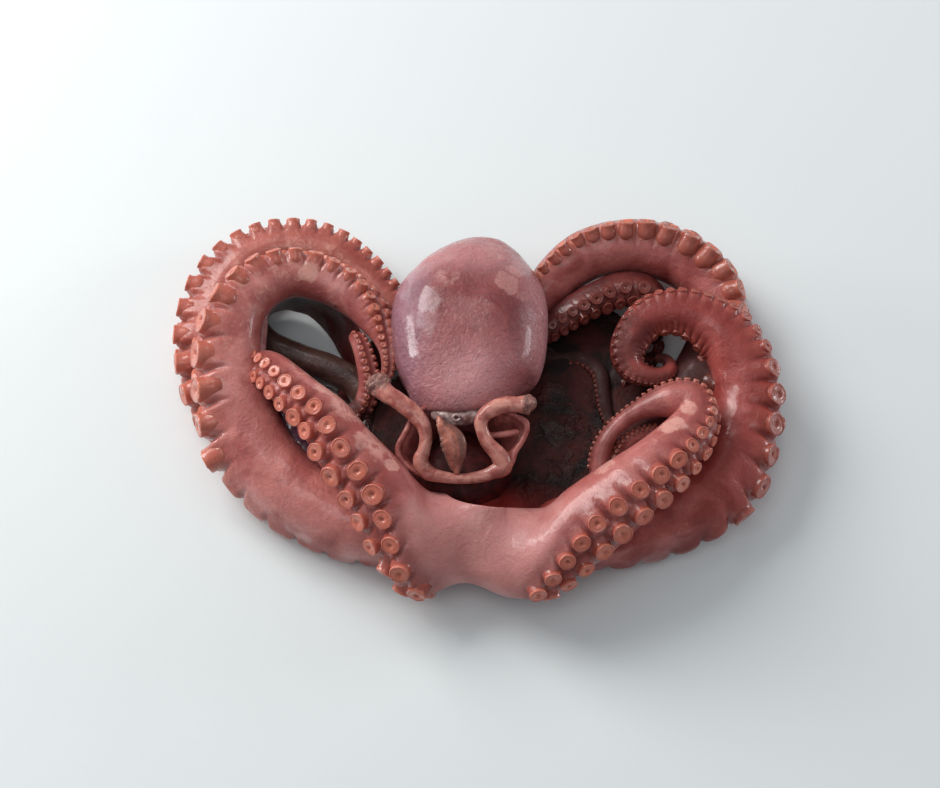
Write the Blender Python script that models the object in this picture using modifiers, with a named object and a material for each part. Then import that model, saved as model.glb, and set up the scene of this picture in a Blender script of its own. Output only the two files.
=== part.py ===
"""A whole cooked octopus lying with its arms curled round its head sac, as one solid.

Eight arms leave a broad crown. The front pair share a web that stands up as a saddle at the
front, the middle pair lie outside them, and the back two pairs run underneath. The head sac
lies on its back behind the crown, with the funnel and its muscles at its opening.
Lengths are in millimetres until MM turns them into Blender's metres. X is to the object's
right, Y to the back and Z up, and the object rests on Z = 0.
"""

import math

import bmesh
import bpy
import numpy as np
from mathutils import Matrix, Vector

MM = 0.001
WELD = 1e-6
NAME = "octopus"

# The origin's place among the routes below, so that it lies under the middle of the solid.
ORIGIN = np.array([-2.6, -0.7, 0.8])

# Arms. Each route point is (x, y, z, radius of the flesh), from the crown to the tip.
# side is 1 where the suckers face the left of the way the arm runs, and -1 for the right.
# lift is how far the suckers turn up from the horizontal, in degrees, from crown to tip.
# bare is the length at the crown, in millimetres, along which the suckers grow from nothing.
ARMS = {
    "front_left": {
        "side": 1,
        "lift": (0, 35, 50, 40, 20),
        "bare": 50,
        "route": [
            (-1, -82, 27, 19), (-19, -82, 29, 19), (-34, -72, 34, 18.5), (-48, -54, 40, 16.5),
            (-60, -38, 44, 14), (-73, -24, 46, 11.5), (-87, -11, 46, 9.5), (-99, 3, 40, 8),
            (-107, 13, 30, 7), (-101, 11, 20, 6.5), (-86, 0, 17, 6), (-69, -8, 18, 5.2),
            (-59, -6, 22, 4.2), (-57, 4, 27, 3.6), (-60, 18, 30, 3.2), (-62, 27, 31, 3),
        ],
    },
    "front_right": {
        "side": -1,
        "lift": (0, 20, 25, 20, 0),
        "bare": 50,
        "route": [
            (-1, -82, 27, 19), (18, -84, 28, 19), (36, -79, 32, 19), (54, -70, 38, 18.5),
            (71, -59, 44, 16.5), (88, -45, 48, 13.5), (102, -30, 49, 11.5), (108, -18, 48, 10),
            (103, -9, 45, 9), (86, -11, 42, 8), (71, -20, 37, 7), (60, -32, 30, 6), (63, -40, 22, 5),
        ],
    },
    "middle_left": {
        "side": 1,
        "lift": (-10, 0, 10, 5, 0),
        "route": [
            (-20, -68, 16, 17), (-49, -67, 17, 17.5), (-76, -55, 18, 18.5), (-101, -34, 22, 18),
            (-117, -8, 28, 16), (-124, 16, 33, 15), (-121, 37, 36, 14), (-111, 52, 37, 13),
            (-95, 61, 36, 11.5), (-77, 57, 34, 10.5), (-63, 46, 30, 9), (-57, 29, 24, 7),
            (-57, 17, 18, 5), (-64, 7, 18, 3.6),
        ],
    },
    "middle_right": {
        "side": -1,
        "lift": (-10, 0, 10, -20, -60),
        "route": [
            (24, -69, 16, 17), (59, -65, 17, 17.5), (91, -50, 18, 18.5), (114, -30, 19, 18),
            (125, -4, 21, 17), (123, 20, 27, 16), (113, 34, 32, 14), (98, 40, 35, 11.5),
            (83, 36, 34, 9.5), (73, 22, 31, 8), (76, 11, 28, 7), (87, 9, 25, 6), (98, 16, 21, 5.2),
            (99, 3, 14, 4.8), (84, -12, 11, 4.5), (66, -13, 12, 4.2), (58, 3, 14, 3.8),
            (57, 22, 16, 3.2),
        ],
    },
    "outer_left": {
        "side": 1,
        "lift": (0, 0, 5, 5, 0),
        "route": [
            (-30, -53, 14, 14), (-75, -41, 12, 13), (-109, -19, 11, 13), (-130, 9, 11, 12),
            (-139, 39, 12, 11), (-135, 60, 12, 11), (-125, 74, 13, 10.5), (-113, 84, 13, 10),
            (-97, 88, 13, 9.5), (-79, 82, 13, 9), (-64, 69, 13, 8), (-50, 53, 12, 7), (-41, 43, 11, 6.5),
        ],
    },
    "outer_right": {
        "side": -1,
        "lift": (0, 0, 10, 20, 10),
        "route": [
            (15, -48, 15, 14), (55, -34, 14, 14), (86, -15, 14, 14), (106, 8, 14, 14),
            (117, 35, 15, 14), (117, 53, 18, 14), (112, 67, 21, 13.5), (102, 75, 22, 13),
            (84, 79, 24, 12.5), (65, 77, 24, 12), (50, 71, 21, 10.5), (39, 59, 18, 9), (28, 50, 15, 8),
        ],
    },
    "back_left": {
        "side": 1,
        "lift": (0, 0, 0, 0, 0),
        "route": [
            (-25, -42, 14, 12), (-48, -14, 12, 11), (-71, 12, 10, 9.5), (-93, 31, 10, 9),
            (-112, 44, 10, 8.5), (-120, 60, 11, 8), (-113, 75, 11, 7.5), (-93, 80, 12, 7),
            (-72, 69, 14, 6),
        ],
    },
    "back_right": {
        "side": -1,
        "lift": (0, 10, 40, 65, 60),
        "route": [
            (20, -37, 14, 12), (48, -12, 13, 12), (69, 20, 12, 11), (82, 44, 14, 10),
            (84, 57, 19, 9.5), (73, 56, 22, 9), (55, 48, 22, 8), (39, 37, 20, 6.5), (29, 31, 16, 6),
        ],
    },
}
ROUTE_STEP = 5.0  # between the points of an arm's curve
ROOT_SWELL = 1.03  # how much thicker an arm's round root is
RIDGE_OFFSET = 0.82  # the row of suckers stands this share of the radius towards them
RIDGE_GIRTH = 0.66  # and is this share of the radius thick

# Crown under the arms, the web behind it and the head: (centre, half sizes)
CROWN = ((4, -42, 13), (62, 40, 13))
WEB = ((42, 2, 9), (36, 32, 9))
HEAD = ((-9, -36, 27), (25, 24, 22))

# Head sac
SAC_CENTRE = (-5, 32.5, 36)
SAC_HALF = (39.5, 50.5, 29)
SAC_YAW = -9.0
SAC_PITCH = -5.0
SAC_BLUNT = 2.7  # 2 would be an ellipse's end; more is blunter, as it is at the opening

# Funnel: a cup with a tongue in it, and a muscle on each side
CUP_CENTRE = (-8, -42, 30)
CUP_RADIUS = (13, 23)  # at its foot and at its rim
CUP_HEIGHT = 14
CUP_WALL = 4.0
CUP_OVAL = 0.62  # front to back over side to side
TONGUE = [(-12, -32, 36, 7), (-12, -42, 45, 7.5), (-14, -34, 49, 5), (-18, -26, 52, 3)]
MUSCLE_LEFT = [(-27, -43, 38, 5), (-22, -30, 48, 5), (-33, -19, 52, 5.5), (-49, -10, 53, 7)]
MUSCLE_RIGHT = [(9, -44, 38, 5), (0, -29, 48, 5), (8, -20, 53, 5.5), (22, -18, 53, 7)]

ROUND = 36  # faces round whatever is turned

# Skin over all of it
VOXEL = 1.9
SMOOTH_STEPS = 4
KEEP_SHARE = 0.074  # of the remeshed faces


def clear_scene():
    for obj in list(bpy.data.objects):
        bpy.data.objects.remove(obj)


def new_collection(name):
    collection = bpy.data.collections.new(name)
    bpy.context.scene.collection.children.link(collection)
    return collection


def skin_material():
    material = bpy.data.materials.new("cooked_skin")
    material.use_nodes = True
    shader = material.node_tree.nodes["Principled BSDF"]
    shader.inputs["Base Color"].default_value = (0.36, 0.10, 0.085, 1)
    shader.inputs["Roughness"].default_value = 0.35
    shader.inputs["Metallic"].default_value = 0.0
    return material


def smooth_route(points, step):
    """Points about step apart on a Catmull-Rom curve through the given ones, radius included."""
    points = np.array(points, float)
    ends = 2 * points[[0, -1]] - points[[1, -2]]
    padded = np.vstack([ends[0], points, ends[1]])
    found = []
    for a, b, c, d in zip(padded, padded[1:], padded[2:], padded[3:]):
        count = max(2, round(np.linalg.norm((c - b)[:3]) / step))
        for t in np.arange(count) / count:
            found.append(
                (2 * b + (c - a) * t + (2 * a - 5 * b + 4 * c - d) * t**2
                 + (3 * b - a - 3 * c + d) * t**3) / 2
            )
    return np.array(found + [points[-1]])


def sucker_side(path, side, lift):
    """The way the suckers face at each point: outwards, carried along the curve, then lifted."""
    along = np.gradient(path[:, :3], axis=0)
    along /= np.linalg.norm(along, axis=1)[:, None]
    facing = np.zeros_like(along)
    carried = side * np.cross((0, 0, 1), along[0])
    for i, direction in enumerate(along):
        carried = carried - (carried @ direction) * direction
        carried /= np.linalg.norm(carried)
        facing[i] = carried
    share = np.linspace(0, 1, len(path))
    angle = np.radians(np.interp(share, np.linspace(0, 1, len(lift)), lift))[:, None]
    up = side * np.cross(along, facing)
    return facing * np.cos(angle) + up * np.sin(angle)


def tube(name, path, collection, sides=2):
    """A round tube as a mesh, along path's points, as thick as the radius in its fourth column."""
    curve = bpy.data.curves.new(name, "CURVE")
    curve.dimensions = "3D"
    curve.bevel_depth = MM
    curve.bevel_resolution = sides
    curve.use_fill_caps = True
    spline = curve.splines.new("POLY")
    spline.points.add(len(path) - 1)
    for point, (x, y, z, radius) in zip(spline.points, path):
        point.co = (x * MM, y * MM, z * MM, 1)
        point.radius = radius
    obj = bpy.data.objects.new(name, curve)
    collection.objects.link(obj)
    bpy.context.view_layer.update()
    graph = bpy.context.evaluated_depsgraph_get()
    mesh = bpy.data.meshes.new_from_object(obj.evaluated_get(graph))
    bpy.data.objects.remove(obj)
    weld(mesh)
    return mesh_object(name, mesh, collection)


def mesh_object(name, mesh, collection):
    obj = bpy.data.objects.new(name, mesh)
    collection.objects.link(obj)
    return obj


def weld(mesh):
    """Joins a curve's caps to its sides."""
    shape = bmesh.new()
    shape.from_mesh(mesh)
    bmesh.ops.remove_doubles(shape, verts=shape.verts, dist=WELD)
    shape.to_mesh(mesh)
    shape.free()


def bead(name, centre, radius, collection):
    """A ball, which rounds off the end of a tube."""
    return ellipsoid(name, centre, (radius, radius, radius), collection)


def ellipsoid(name, centre, half, collection):
    shape = bmesh.new()
    bmesh.ops.create_uvsphere(shape, u_segments=ROUND, v_segments=ROUND // 2, radius=MM)
    bmesh.ops.scale(shape, vec=Vector(half), verts=shape.verts)
    bmesh.ops.translate(shape, vec=Vector(centre) * MM, verts=shape.verts)
    mesh = bpy.data.meshes.new(name)
    shape.to_mesh(mesh)
    shape.free()
    return mesh_object(name, mesh, collection)


def arm(name, spec, collection):
    """One arm: the flesh, the ridge that its suckers make, and a ball at each end."""
    path = smooth_route(spec["route"], ROUTE_STEP)
    facing = sucker_side(path, spec["side"], spec["lift"])
    steps_out = np.arange(len(path)) * ROUTE_STEP
    grown = np.clip(steps_out / spec.get("bare", ROUTE_STEP), 0, 1)[:, None]
    ridge = path.copy()
    ridge[:, :3] += facing * path[:, 3:] * RIDGE_OFFSET * grown
    ridge[:, 3] *= RIDGE_GIRTH
    return [
        tube(name, path, collection),
        tube(name + "_suckers", ridge, collection),
        bead(name + "_root", path[0, :3], path[0, 3] * ROOT_SWELL, collection),
        bead(name + "_tip", path[-1, :3], path[-1, 3], collection),
    ]


def head_sac(collection):
    """An egg, blunter at the opening at its front and lying a little turned and tipped."""
    sac = ellipsoid("head_sac", (0, 0, 0), SAC_HALF, collection)
    front = SAC_HALF[1] * MM
    for vertex in sac.data.vertices:
        forward = min(1.0, -vertex.co.y / front)
        if 0 < forward < 1:
            wider = (1 - forward**SAC_BLUNT) ** (1 / SAC_BLUNT) / math.sqrt(1 - forward**2)
            vertex.co.x *= wider
            vertex.co.z *= wider
    turn = Matrix.Rotation(math.radians(SAC_YAW), 4, "Z") @ Matrix.Rotation(
        math.radians(SAC_PITCH), 4, "X"
    )
    sac.data.transform(Matrix.Translation(Vector(SAC_CENTRE) * MM) @ turn)
    return sac


def funnel_cup(collection):
    """An open oval cup: a slanting wall turned about Z, given its thickness, then flattened."""
    foot, rim = CUP_RADIUS
    profile = [(0.01, 0), (foot, 0), ((foot + rim) / 2, CUP_HEIGHT / 3), (rim, CUP_HEIGHT)]
    mesh = bpy.data.meshes.new("funnel_cup")
    mesh.from_pydata(
        [(r * MM, 0, z * MM) for r, z in profile], [(i, i + 1) for i in range(len(profile) - 1)], []
    )
    cup = mesh_object("funnel_cup", mesh, collection)
    screw = cup.modifiers.new("turn", "SCREW")
    screw.steps = screw.render_steps = ROUND
    screw.use_merge_vertices = True
    screw.merge_threshold = 0.0001
    wall = cup.modifiers.new("wall", "SOLIDIFY")
    wall.thickness = CUP_WALL * MM
    wall.offset = 0
    bpy.context.view_layer.update()
    graph = bpy.context.evaluated_depsgraph_get()
    solid = bpy.data.meshes.new_from_object(cup.evaluated_get(graph))
    bpy.data.objects.remove(cup)
    solid.transform(
        Matrix.Translation(Vector(CUP_CENTRE) * MM) @ Matrix.Diagonal((1, CUP_OVAL, 1, 1))
    )
    return mesh_object("funnel_cup", solid, collection)


def rounded_tube(name, points, collection):
    path = smooth_route(points, ROUTE_STEP / 2)
    return [
        tube(name, path, collection),
        bead(name + "_start", path[0, :3], path[0, 3], collection),
        bead(name + "_end", path[-1, :3], path[-1, 3], collection),
    ]


def joined(parts, collection):
    """All the parts' meshes in one object."""
    whole = bmesh.new()
    for part in parts:
        whole.from_mesh(part.data)
        bpy.data.objects.remove(part)
    mesh = bpy.data.meshes.new(NAME + "_parts")
    whole.to_mesh(mesh)
    whole.free()
    return mesh_object(NAME + "_parts", mesh, collection)


def one_skin(source):
    """One closed skin round everything, evened out and thinned to a few thousand faces."""
    remesh = source.modifiers.new("skin", "REMESH")
    remesh.mode = "VOXEL"
    remesh.voxel_size = VOXEL * MM
    smooth = source.modifiers.new("even", "SMOOTH")
    smooth.iterations = SMOOTH_STEPS
    thin = source.modifiers.new("thin", "DECIMATE")
    thin.ratio = KEEP_SHARE
    bpy.context.view_layer.update()
    graph = bpy.context.evaluated_depsgraph_get()
    mesh = bpy.data.meshes.new_from_object(source.evaluated_get(graph))
    bpy.data.objects.remove(source)
    return mesh


def islands(shape):
    """The faces of each separate shell."""
    left = set(shape.faces)
    found = []
    while left:
        shell, edge_of = [], [left.pop()]
        while edge_of:
            face = edge_of.pop()
            shell.append(face)
            for edge in face.edges:
                for other in edge.link_faces:
                    if other in left:
                        left.remove(other)
                        edge_of.append(other)
        found.append(shell)
    return found


def keep_outer_shell(shape):
    """Removes the skins of the small closed gaps between arms, which are shells of their own."""
    shells = sorted(islands(shape), key=len)
    inner = [face for shell in shells[:-1] for face in shell]
    bmesh.ops.delete(shape, geom=inner, context="FACES")


def rest_on_floor(shape):
    """Presses whatever reaches below the floor flat against it."""
    for vertex in shape.verts:
        vertex.co.z = max(0.0, vertex.co.z)


def build():
    clear_scene()
    collection = new_collection("whole_octopus")
    parts = []
    for name, spec in ARMS.items():
        parts += arm(name, spec, collection)
    parts.append(ellipsoid("crown", *CROWN, collection))
    parts.append(ellipsoid("web", *WEB, collection))
    parts.append(ellipsoid("head", *HEAD, collection))
    parts.append(head_sac(collection))
    parts.append(funnel_cup(collection))
    parts += rounded_tube("tongue", TONGUE, collection)
    parts += rounded_tube("muscle_left", MUSCLE_LEFT, collection)
    parts += rounded_tube("muscle_right", MUSCLE_RIGHT, collection)
    mesh = one_skin(joined(parts, collection))

    shape = bmesh.new()
    shape.from_mesh(mesh)
    bmesh.ops.translate(shape, vec=Vector(-ORIGIN) * MM, verts=shape.verts)
    keep_outer_shell(shape)
    rest_on_floor(shape)
    bmesh.ops.triangulate(shape, faces=shape.faces)
    mesh = bpy.data.meshes.new(NAME)
    shape.to_mesh(mesh)
    shape.free()
    octopus = mesh_object(NAME, mesh, collection)
    mesh.materials.append(skin_material())
    mesh.shade_smooth()


build()
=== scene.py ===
import math

import bpy
import numpy as np
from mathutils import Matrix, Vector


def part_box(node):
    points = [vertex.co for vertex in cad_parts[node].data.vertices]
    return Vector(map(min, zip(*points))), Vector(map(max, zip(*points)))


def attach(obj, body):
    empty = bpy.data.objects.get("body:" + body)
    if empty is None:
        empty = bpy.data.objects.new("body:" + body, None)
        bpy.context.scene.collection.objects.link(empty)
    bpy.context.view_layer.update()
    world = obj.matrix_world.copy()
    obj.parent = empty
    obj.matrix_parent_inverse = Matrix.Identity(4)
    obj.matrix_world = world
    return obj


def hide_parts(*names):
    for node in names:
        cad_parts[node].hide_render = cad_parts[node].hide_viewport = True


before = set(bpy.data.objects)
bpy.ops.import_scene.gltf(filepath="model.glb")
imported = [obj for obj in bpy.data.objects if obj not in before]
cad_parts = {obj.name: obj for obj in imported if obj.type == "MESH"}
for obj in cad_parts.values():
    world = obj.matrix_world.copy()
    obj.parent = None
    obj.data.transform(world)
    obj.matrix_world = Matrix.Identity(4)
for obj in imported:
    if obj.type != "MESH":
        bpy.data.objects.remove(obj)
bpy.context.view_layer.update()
boxLow, boxHigh = (np.array(corner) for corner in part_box("octopus"))

# All shapes are worked out in millimetres, from a point under the middle of the head
metres = 0.001
lowest = 0.9  # the arms and suckers are pressed flat at this height
curveSteps = 24  # points between two neighbouring rows of a route, before it is respaced
bodyOrigin = np.array([
    (boxLow[0] + boxHigh[0]) / 2 + 2.6 * metres,
    (boxLow[1] + boxHigh[1]) / 2 + 0.7 * metres,
    boxLow[2] - 0.8 * metres,
])
print("frame loaded")


def unit(vectors):
    return vectors / np.maximum(np.linalg.norm(vectors, axis=-1, keepdims=True), 1e-12)


def wrapped(angle):
    # the same angle between minus pi and pi
    return (angle + math.pi) % (2 * math.pi) - math.pi


def eased(value, low, high):
    # 0 below low, 1 above high, an S-curve between them
    share = np.clip((value - low) / (high - low), 0, 1)
    return share * share * (3 - 2 * share)


def turns(count):
    # evenly spaced angles once round
    return np.linspace(0, 2 * math.pi, count, endpoint=False)


def farFrom(points, place):
    return np.linalg.norm(points - np.array(place), axis=-1)


hashPrimes = np.array([73856093, 19349663, 83492791])


def latticeNoise(points, cell, seed):
    # a random value, hashed from its whole numbers, at each corner of a lattice, blended inside
    # each cell with S-curves: -1 to 1
    scaled = points / cell + seed * 7.31
    corner = np.floor(scaled).astype(np.int64)
    share = scaled - corner
    share = share * share * (3 - 2 * share)
    total = 0
    for step in np.ndindex(2, 2, 2):
        x, y, z = np.moveaxis((corner + step) * hashPrimes, -1, 0)
        key = x ^ y ^ z ^ (seed * 2654435)
        key = (key ^ (key >> 13)) * 1274126177 & 0xFFFFFFFF
        key = (key ^ (key >> 16)) & 0xFFFF
        weight = np.where(step, share, 1 - share).prod(axis=-1)
        total = total + weight * (key / 32767.5 - 1)
    return total


def roughNoise(points, cell, seed):
    # lattice noise in three sizes, each half as large and half as strong as the last
    octaves = [latticeNoise(points, cell / 2**k, seed + k) / 2**k for k in range(3)]
    return sum(octaves) / (1 + 1 / 2 + 1 / 4)


def curveThrough(points, step):
    # a Catmull-Rom curve through the rows of points, every column alike, respaced evenly; returns
    # the length so far at each row, and the rows
    points = np.array(points, float)
    ends = 2 * points[[0, -1]] - points[[1, -2]]
    padded = np.vstack([ends[:1], points, ends[1:]])
    a, b, c, d = padded[:-3], padded[1:-2], padded[2:-1], padded[3:]
    t = np.linspace(0, 1, curveSteps, endpoint=False)[:, None, None]
    dense = 2 * b + (c - a) * t + (2 * a - 5 * b + 4 * c - d) * t**2
    dense = (dense + (3 * b - a - 3 * c + d) * t**3) / 2
    dense = np.vstack([dense.transpose(1, 0, 2).reshape(-1, points.shape[1]), points[-1:]])
    hops = np.linalg.norm(np.diff(dense[:, :3], axis=0), axis=1)
    reach = np.concatenate([[0], np.cumsum(hops)])
    even = np.linspace(0, reach[-1], max(3, round(reach[-1] / step) + 1))
    columns = [np.interp(even, reach, dense[:, k]) for k in range(points.shape[1])]
    return even, np.stack(columns, axis=1)


def carried(along, start):
    # one direction across a path, carried along it without twist
    sides = np.empty_like(along)
    side = np.array(start, float)
    for ring, direction in enumerate(along):
        side = side - (side @ direction) * direction
        side = side / np.linalg.norm(side)
        sides[ring] = side
    return sides


def patchMask(points, patches, seed):
    # fades from its strength in the middle of each patch (x, y, z, size, strength) to 0 outside
    total = np.zeros(points.shape[:-1])
    ragged = roughNoise(points, 7, seed)
    for *place, size, strength in patches:
        far = farFrom(points, place) / size
        total = np.maximum(total, strength * eased(1.15 - far + 0.4 * ragged, 0, 0.6))
    return total


def tubeFaces(rings, around, closedPath=False):
    # quads between neighbouring rings of points
    ring = np.arange(rings if closedPath else rings - 1)[:, None]
    spoke = np.arange(around)[None, :]
    after = (ring + 1) % rings
    beside = (spoke + 1) % around
    corners = [ring * around + spoke, after * around + spoke,
               after * around + beside, ring * around + beside]
    return np.stack(np.broadcast_arrays(*corners), axis=-1).reshape(-1, 4)


def fanFaces(ringStart, around, pole, turned):
    # triangles from one ring of points to a pole
    spoke = np.arange(around)
    beside = (spoke + 1) % around
    order = (beside, spoke) if turned else (spoke, beside)
    return np.stack([ringStart + order[0], ringStart + order[1], np.full(around, pole)], axis=1)


def volumeOf(points, quads, triangles):
    # the signed volume of a closed mesh: below 0 when its faces point in
    corners = points[np.concatenate([triangles, quads[:, [0, 1, 2]], quads[:, [0, 2, 3]]])]
    return np.einsum("ij,ij->i", corners[:, 0], np.cross(corners[:, 1], corners[:, 2])).sum() / 6


def addPiece(name, points, quads, triangles, material, fields):
    # one closed mesh from whole arrays, in millimetres, with a named value at each point
    quads = np.asarray(quads, np.int64).reshape(-1, 4)
    triangles = np.asarray(triangles, np.int64).reshape(-1, 3)
    if volumeOf(points, quads, triangles) < 0:
        quads, triangles = quads[:, ::-1], triangles[:, ::-1]
    mesh = bpy.data.meshes.new(name)
    mesh.vertices.add(len(points))
    mesh.vertices.foreach_set("co", (points * metres + bodyOrigin).astype(np.float32).ravel())
    corners = np.concatenate([quads.ravel(), triangles.ravel()])
    mesh.loops.add(len(corners))
    mesh.loops.foreach_set("vertex_index", corners.astype(np.int32))
    starts = np.concatenate([np.arange(len(quads)) * 4, len(quads) * 4 + np.arange(len(triangles)) * 3])
    mesh.polygons.add(len(starts))
    mesh.polygons.foreach_set("loop_start", starts.astype(np.int32))
    mesh.update(calc_edges=True)
    mesh.shade_smooth()
    for field, values in fields.items():
        layer = mesh.attributes.new(field, "FLOAT", "POINT")
        layer.data.foreach_set("value", np.ascontiguousarray(values, np.float32).ravel())
    mesh.materials.append(material)
    piece = bpy.data.objects.new(name, mesh)
    bpy.context.scene.collection.objects.link(piece)
    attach(piece, "root")
    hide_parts("octopus")


def addTube(name, grid, material, fields, closedPath=False):
    # a grid of rings made a closed skin: its ends are fans to their middle points
    rings, around = grid.shape[:2]
    points = grid.reshape(-1, 3)
    quads = tubeFaces(rings, around, closedPath)
    flat = {field: np.broadcast_to(values, (rings, around)).ravel() for field, values in fields.items()}
    if closedPath:
        addPiece(name, points, quads, [], material, flat)
        return
    poles = np.stack([grid[0].mean(axis=0), grid[-1].mean(axis=0)])
    fans = np.concatenate([
        fanFaces(0, around, len(points), False),
        fanFaces((rings - 1) * around, around, len(points) + 1, True),
    ])
    ends = {field: [values[:around].mean(), values[-around:].mean()] for field, values in flat.items()}
    flat = {field: np.concatenate([values, ends[field]]) for field, values in flat.items()}
    addPiece(name, np.vstack([points, poles]), quads, fans, material, flat)


class Wire:
    # wraps an output socket, so that sums on wires and numbers add Math nodes
    def __init__(self, socket):
        self.socket = socket

    @staticmethod
    def node(tree, kind, settings, sockets, output=0):
        made = tree.nodes.new(kind)
        for key, value in settings.items():
            if key == "stops":
                ramp = made.color_ramp.elements
                while len(ramp) < len(value):
                    ramp.new(0.5)
                for element, (place, colour) in zip(ramp, value):
                    element.position = place
                    element.color = (*colour, 1)
            else:
                setattr(made, key, value)
        for key, value in sockets.items():
            if isinstance(value, Wire):
                tree.links.new(value.socket, made.inputs[key])
            elif made.inputs[key].type == "RGBA" and len(value) == 3:
                made.inputs[key].default_value = (*value, 1)
            else:
                made.inputs[key].default_value = value
        return Wire(made.outputs[output])

    def math(self, operation, first, second=0.0):
        sockets = {0: first, 1: second}
        return Wire.node(self.socket.id_data, "ShaderNodeMath", {"operation": operation}, sockets)

    def __add__(self, other):
        return self.math("ADD", self, other)

    def __radd__(self, other):
        return self.math("ADD", other, self)

    def __sub__(self, other):
        return self.math("SUBTRACT", self, other)

    def __rsub__(self, other):
        return self.math("SUBTRACT", other, self)

    def __mul__(self, other):
        return self.math("MULTIPLY", self, other)

    def __rmul__(self, other):
        return self.math("MULTIPLY", other, self)

    def above(self, low, high):
        # 0 below low, 1 above high, an S-curve between them
        smooth = {"interpolation_type": "SMOOTHSTEP"}
        sockets = {0: self, 1: low, 2: high}
        return Wire.node(self.socket.id_data, "ShaderNodeMapRange", smooth, sockets)


def tint(red, green, blue):
    # a colour given in 0 to 255 display values, as linear light
    return tuple(((c / 255 + 0.055) / 1.055) ** 2.4 for c in (red, green, blue))


class Recipe:
    # one material under construction: its tree, its Principled shader and its coordinates
    def __init__(self, name):
        self.material = bpy.data.materials.new(name)
        self.material.use_nodes = True
        self.tree = self.material.node_tree
        self.shader = self.tree.nodes["Principled BSDF"]
        self.place = self.add("ShaderNodeTexCoord", {}, {}, "Object")

    def add(self, kind, settings, sockets, output=0):
        return Wire.node(self.tree, kind, settings, sockets, output)

    def field(self, name):
        return self.add("ShaderNodeAttribute", {"attribute_name": name}, {}, "Fac")

    def noise(self, size, detail=3.0, warp=0.0, rough=0.55):
        # soft noise whose lumps are about size millimetres across
        sockets = {"Vector": self.place, "Scale": 1000 / size, "Detail": detail,
                   "Distortion": warp, "Roughness": rough}
        return self.add("ShaderNodeTexNoise", {}, sockets)

    def dots(self, size):
        # distance to the nearest of many scattered points, size millimetres apart
        sockets = {"Vector": self.place, "Scale": 1000 / size}
        return self.add("ShaderNodeTexVoronoi", {}, sockets)

    def blend(self, share, first, second):
        # the first colour where share is 0, the second where it is 1
        return self.add("ShaderNodeMix", {"data_type": "RGBA"}, {0: share, 6: first, 7: second}, 2)

    def finish(self, colour, roughness, height, depth, coat, constants):
        # links what varies, sets what is the same all over, and returns the material
        sockets = {"Strength": 1.0, "Distance": depth * metres, "Height": height}
        bump = self.add("ShaderNodeBump", {}, sockets)
        varying = {"Base Color": colour, "Roughness": roughness, "Coat Weight": coat, "Normal": bump}
        for key, wire in varying.items():
            self.tree.links.new(wire.socket, self.shader.inputs[key])
        for key, value in constants.items():
            self.shader.inputs[key].default_value = value
        return self.material


# How light goes into wet boiled flesh
flesh = {
    "Subsurface Weight": 0.22,
    "Subsurface Radius": (1.0, 0.32, 0.22),
    "Subsurface Scale": 0.0035,
    "IOR": 1.38,
    "Coat Roughness": 0.12,
    "Coat IOR": 1.45,
}


def skinMaterial(name, look):
    # boiled skin: two reds in soft blotches, paler flesh where the pale value is high, partly where
    # the skin has come away and partly a painted wet highlight, a painted sheen where the sheen value
    # is high, deep red round the suckers, partly painted shade between them, and orange under them,
    # mostly painted light instead on the head sac, fine dark pores, faint pale scratches, a wet film
    # that breaks up in patches, wettest where glaze is high, and dull near-black red, painted shade,
    # where the dark value is high
    make = Recipe(name)
    look = {key: tint(*value) if isinstance(value, tuple) else value for key, value in look.items()}
    blotch = make.noise(look["blotch"], 3.0, 0.6).above(0.36, 0.64)
    mottle = make.noise(3.2, 4.0, 0.3).above(0.35, 0.68)
    fine = make.noise(0.9, 3.0)
    pores = make.dots(look["poreSize"]).above(0.10, 0.26)
    colour = make.blend(blotch, look["dark"], look["light"])
    colour = make.blend(mottle * 0.35, colour, look["mid"])
    # a painted sheen where the sheen value is high
    colour = make.blend(make.field("bruise") * 0.8, colour, look["bruise"])
    # the glow colour: orange under the suckers, and mostly painted light on the head sac
    colour = make.blend(make.field("glow") * 0.9, colour, look["glow"])
    # paler flesh where the skin has come away, partly a painted wet highlight
    tearAndHighlight = (make.field("pale") + make.noise(5.0, 5.0, 0.8, 0.62) * 1.3 - 0.65).above(0.34, 0.72)
    colour = make.blend(tearAndHighlight * look["tearAndHighlight"], colour, look["pinkTint"])
    # deep red round the suckers, partly painted shade between them, and painted shade inside the head
    # sac's opening
    colour = make.blend(make.field("deep") * 0.85, colour, look["deep"])
    line = make.noise(9, 2.0, 1.2)
    scratch = line.math("ABSOLUTE", line - 0.5).above(0.006, 0.002)
    scratch = scratch * make.noise(13, 2.0).above(0.56, 0.62)
    colour = make.blend(scratch * look["scratch"], colour, look["pinkTint"])
    colour = make.blend(fine.above(0.56, 0.70) * look["speckle"], colour, look["deep"])
    colour = make.blend((1 - pores) * look["poreShade"], colour, look["deep"])
    # painted shade: near-black red where the dark value is high
    dark = make.field("dark")
    colour = make.blend(dark * 0.93, colour, tint(38, 15, 14))
    film = make.noise(22, 3.0, 0.8).above(0.42, 0.58)
    glaze = make.field("glaze")
    roughness = look["rough"] + mottle * 0.08 - film * look["gloss"] - tearAndHighlight * 0.1
    roughness = roughness + dark * 0.3 - glaze * 0.14
    wrinkle = make.noise(look["wrinkle"], 4.0, 0.8, 0.6)
    height = wrinkle * 0.8 + pores * 0.10 + make.noise(1.6, 3.0) * 0.14 - tearAndHighlight * 0.12
    coat = (0.1 + film * look["film"]) * (1 - dark * 0.95) + glaze * 0.5
    return make.finish(colour, roughness, height, look["depth"], coat, flesh)


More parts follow.
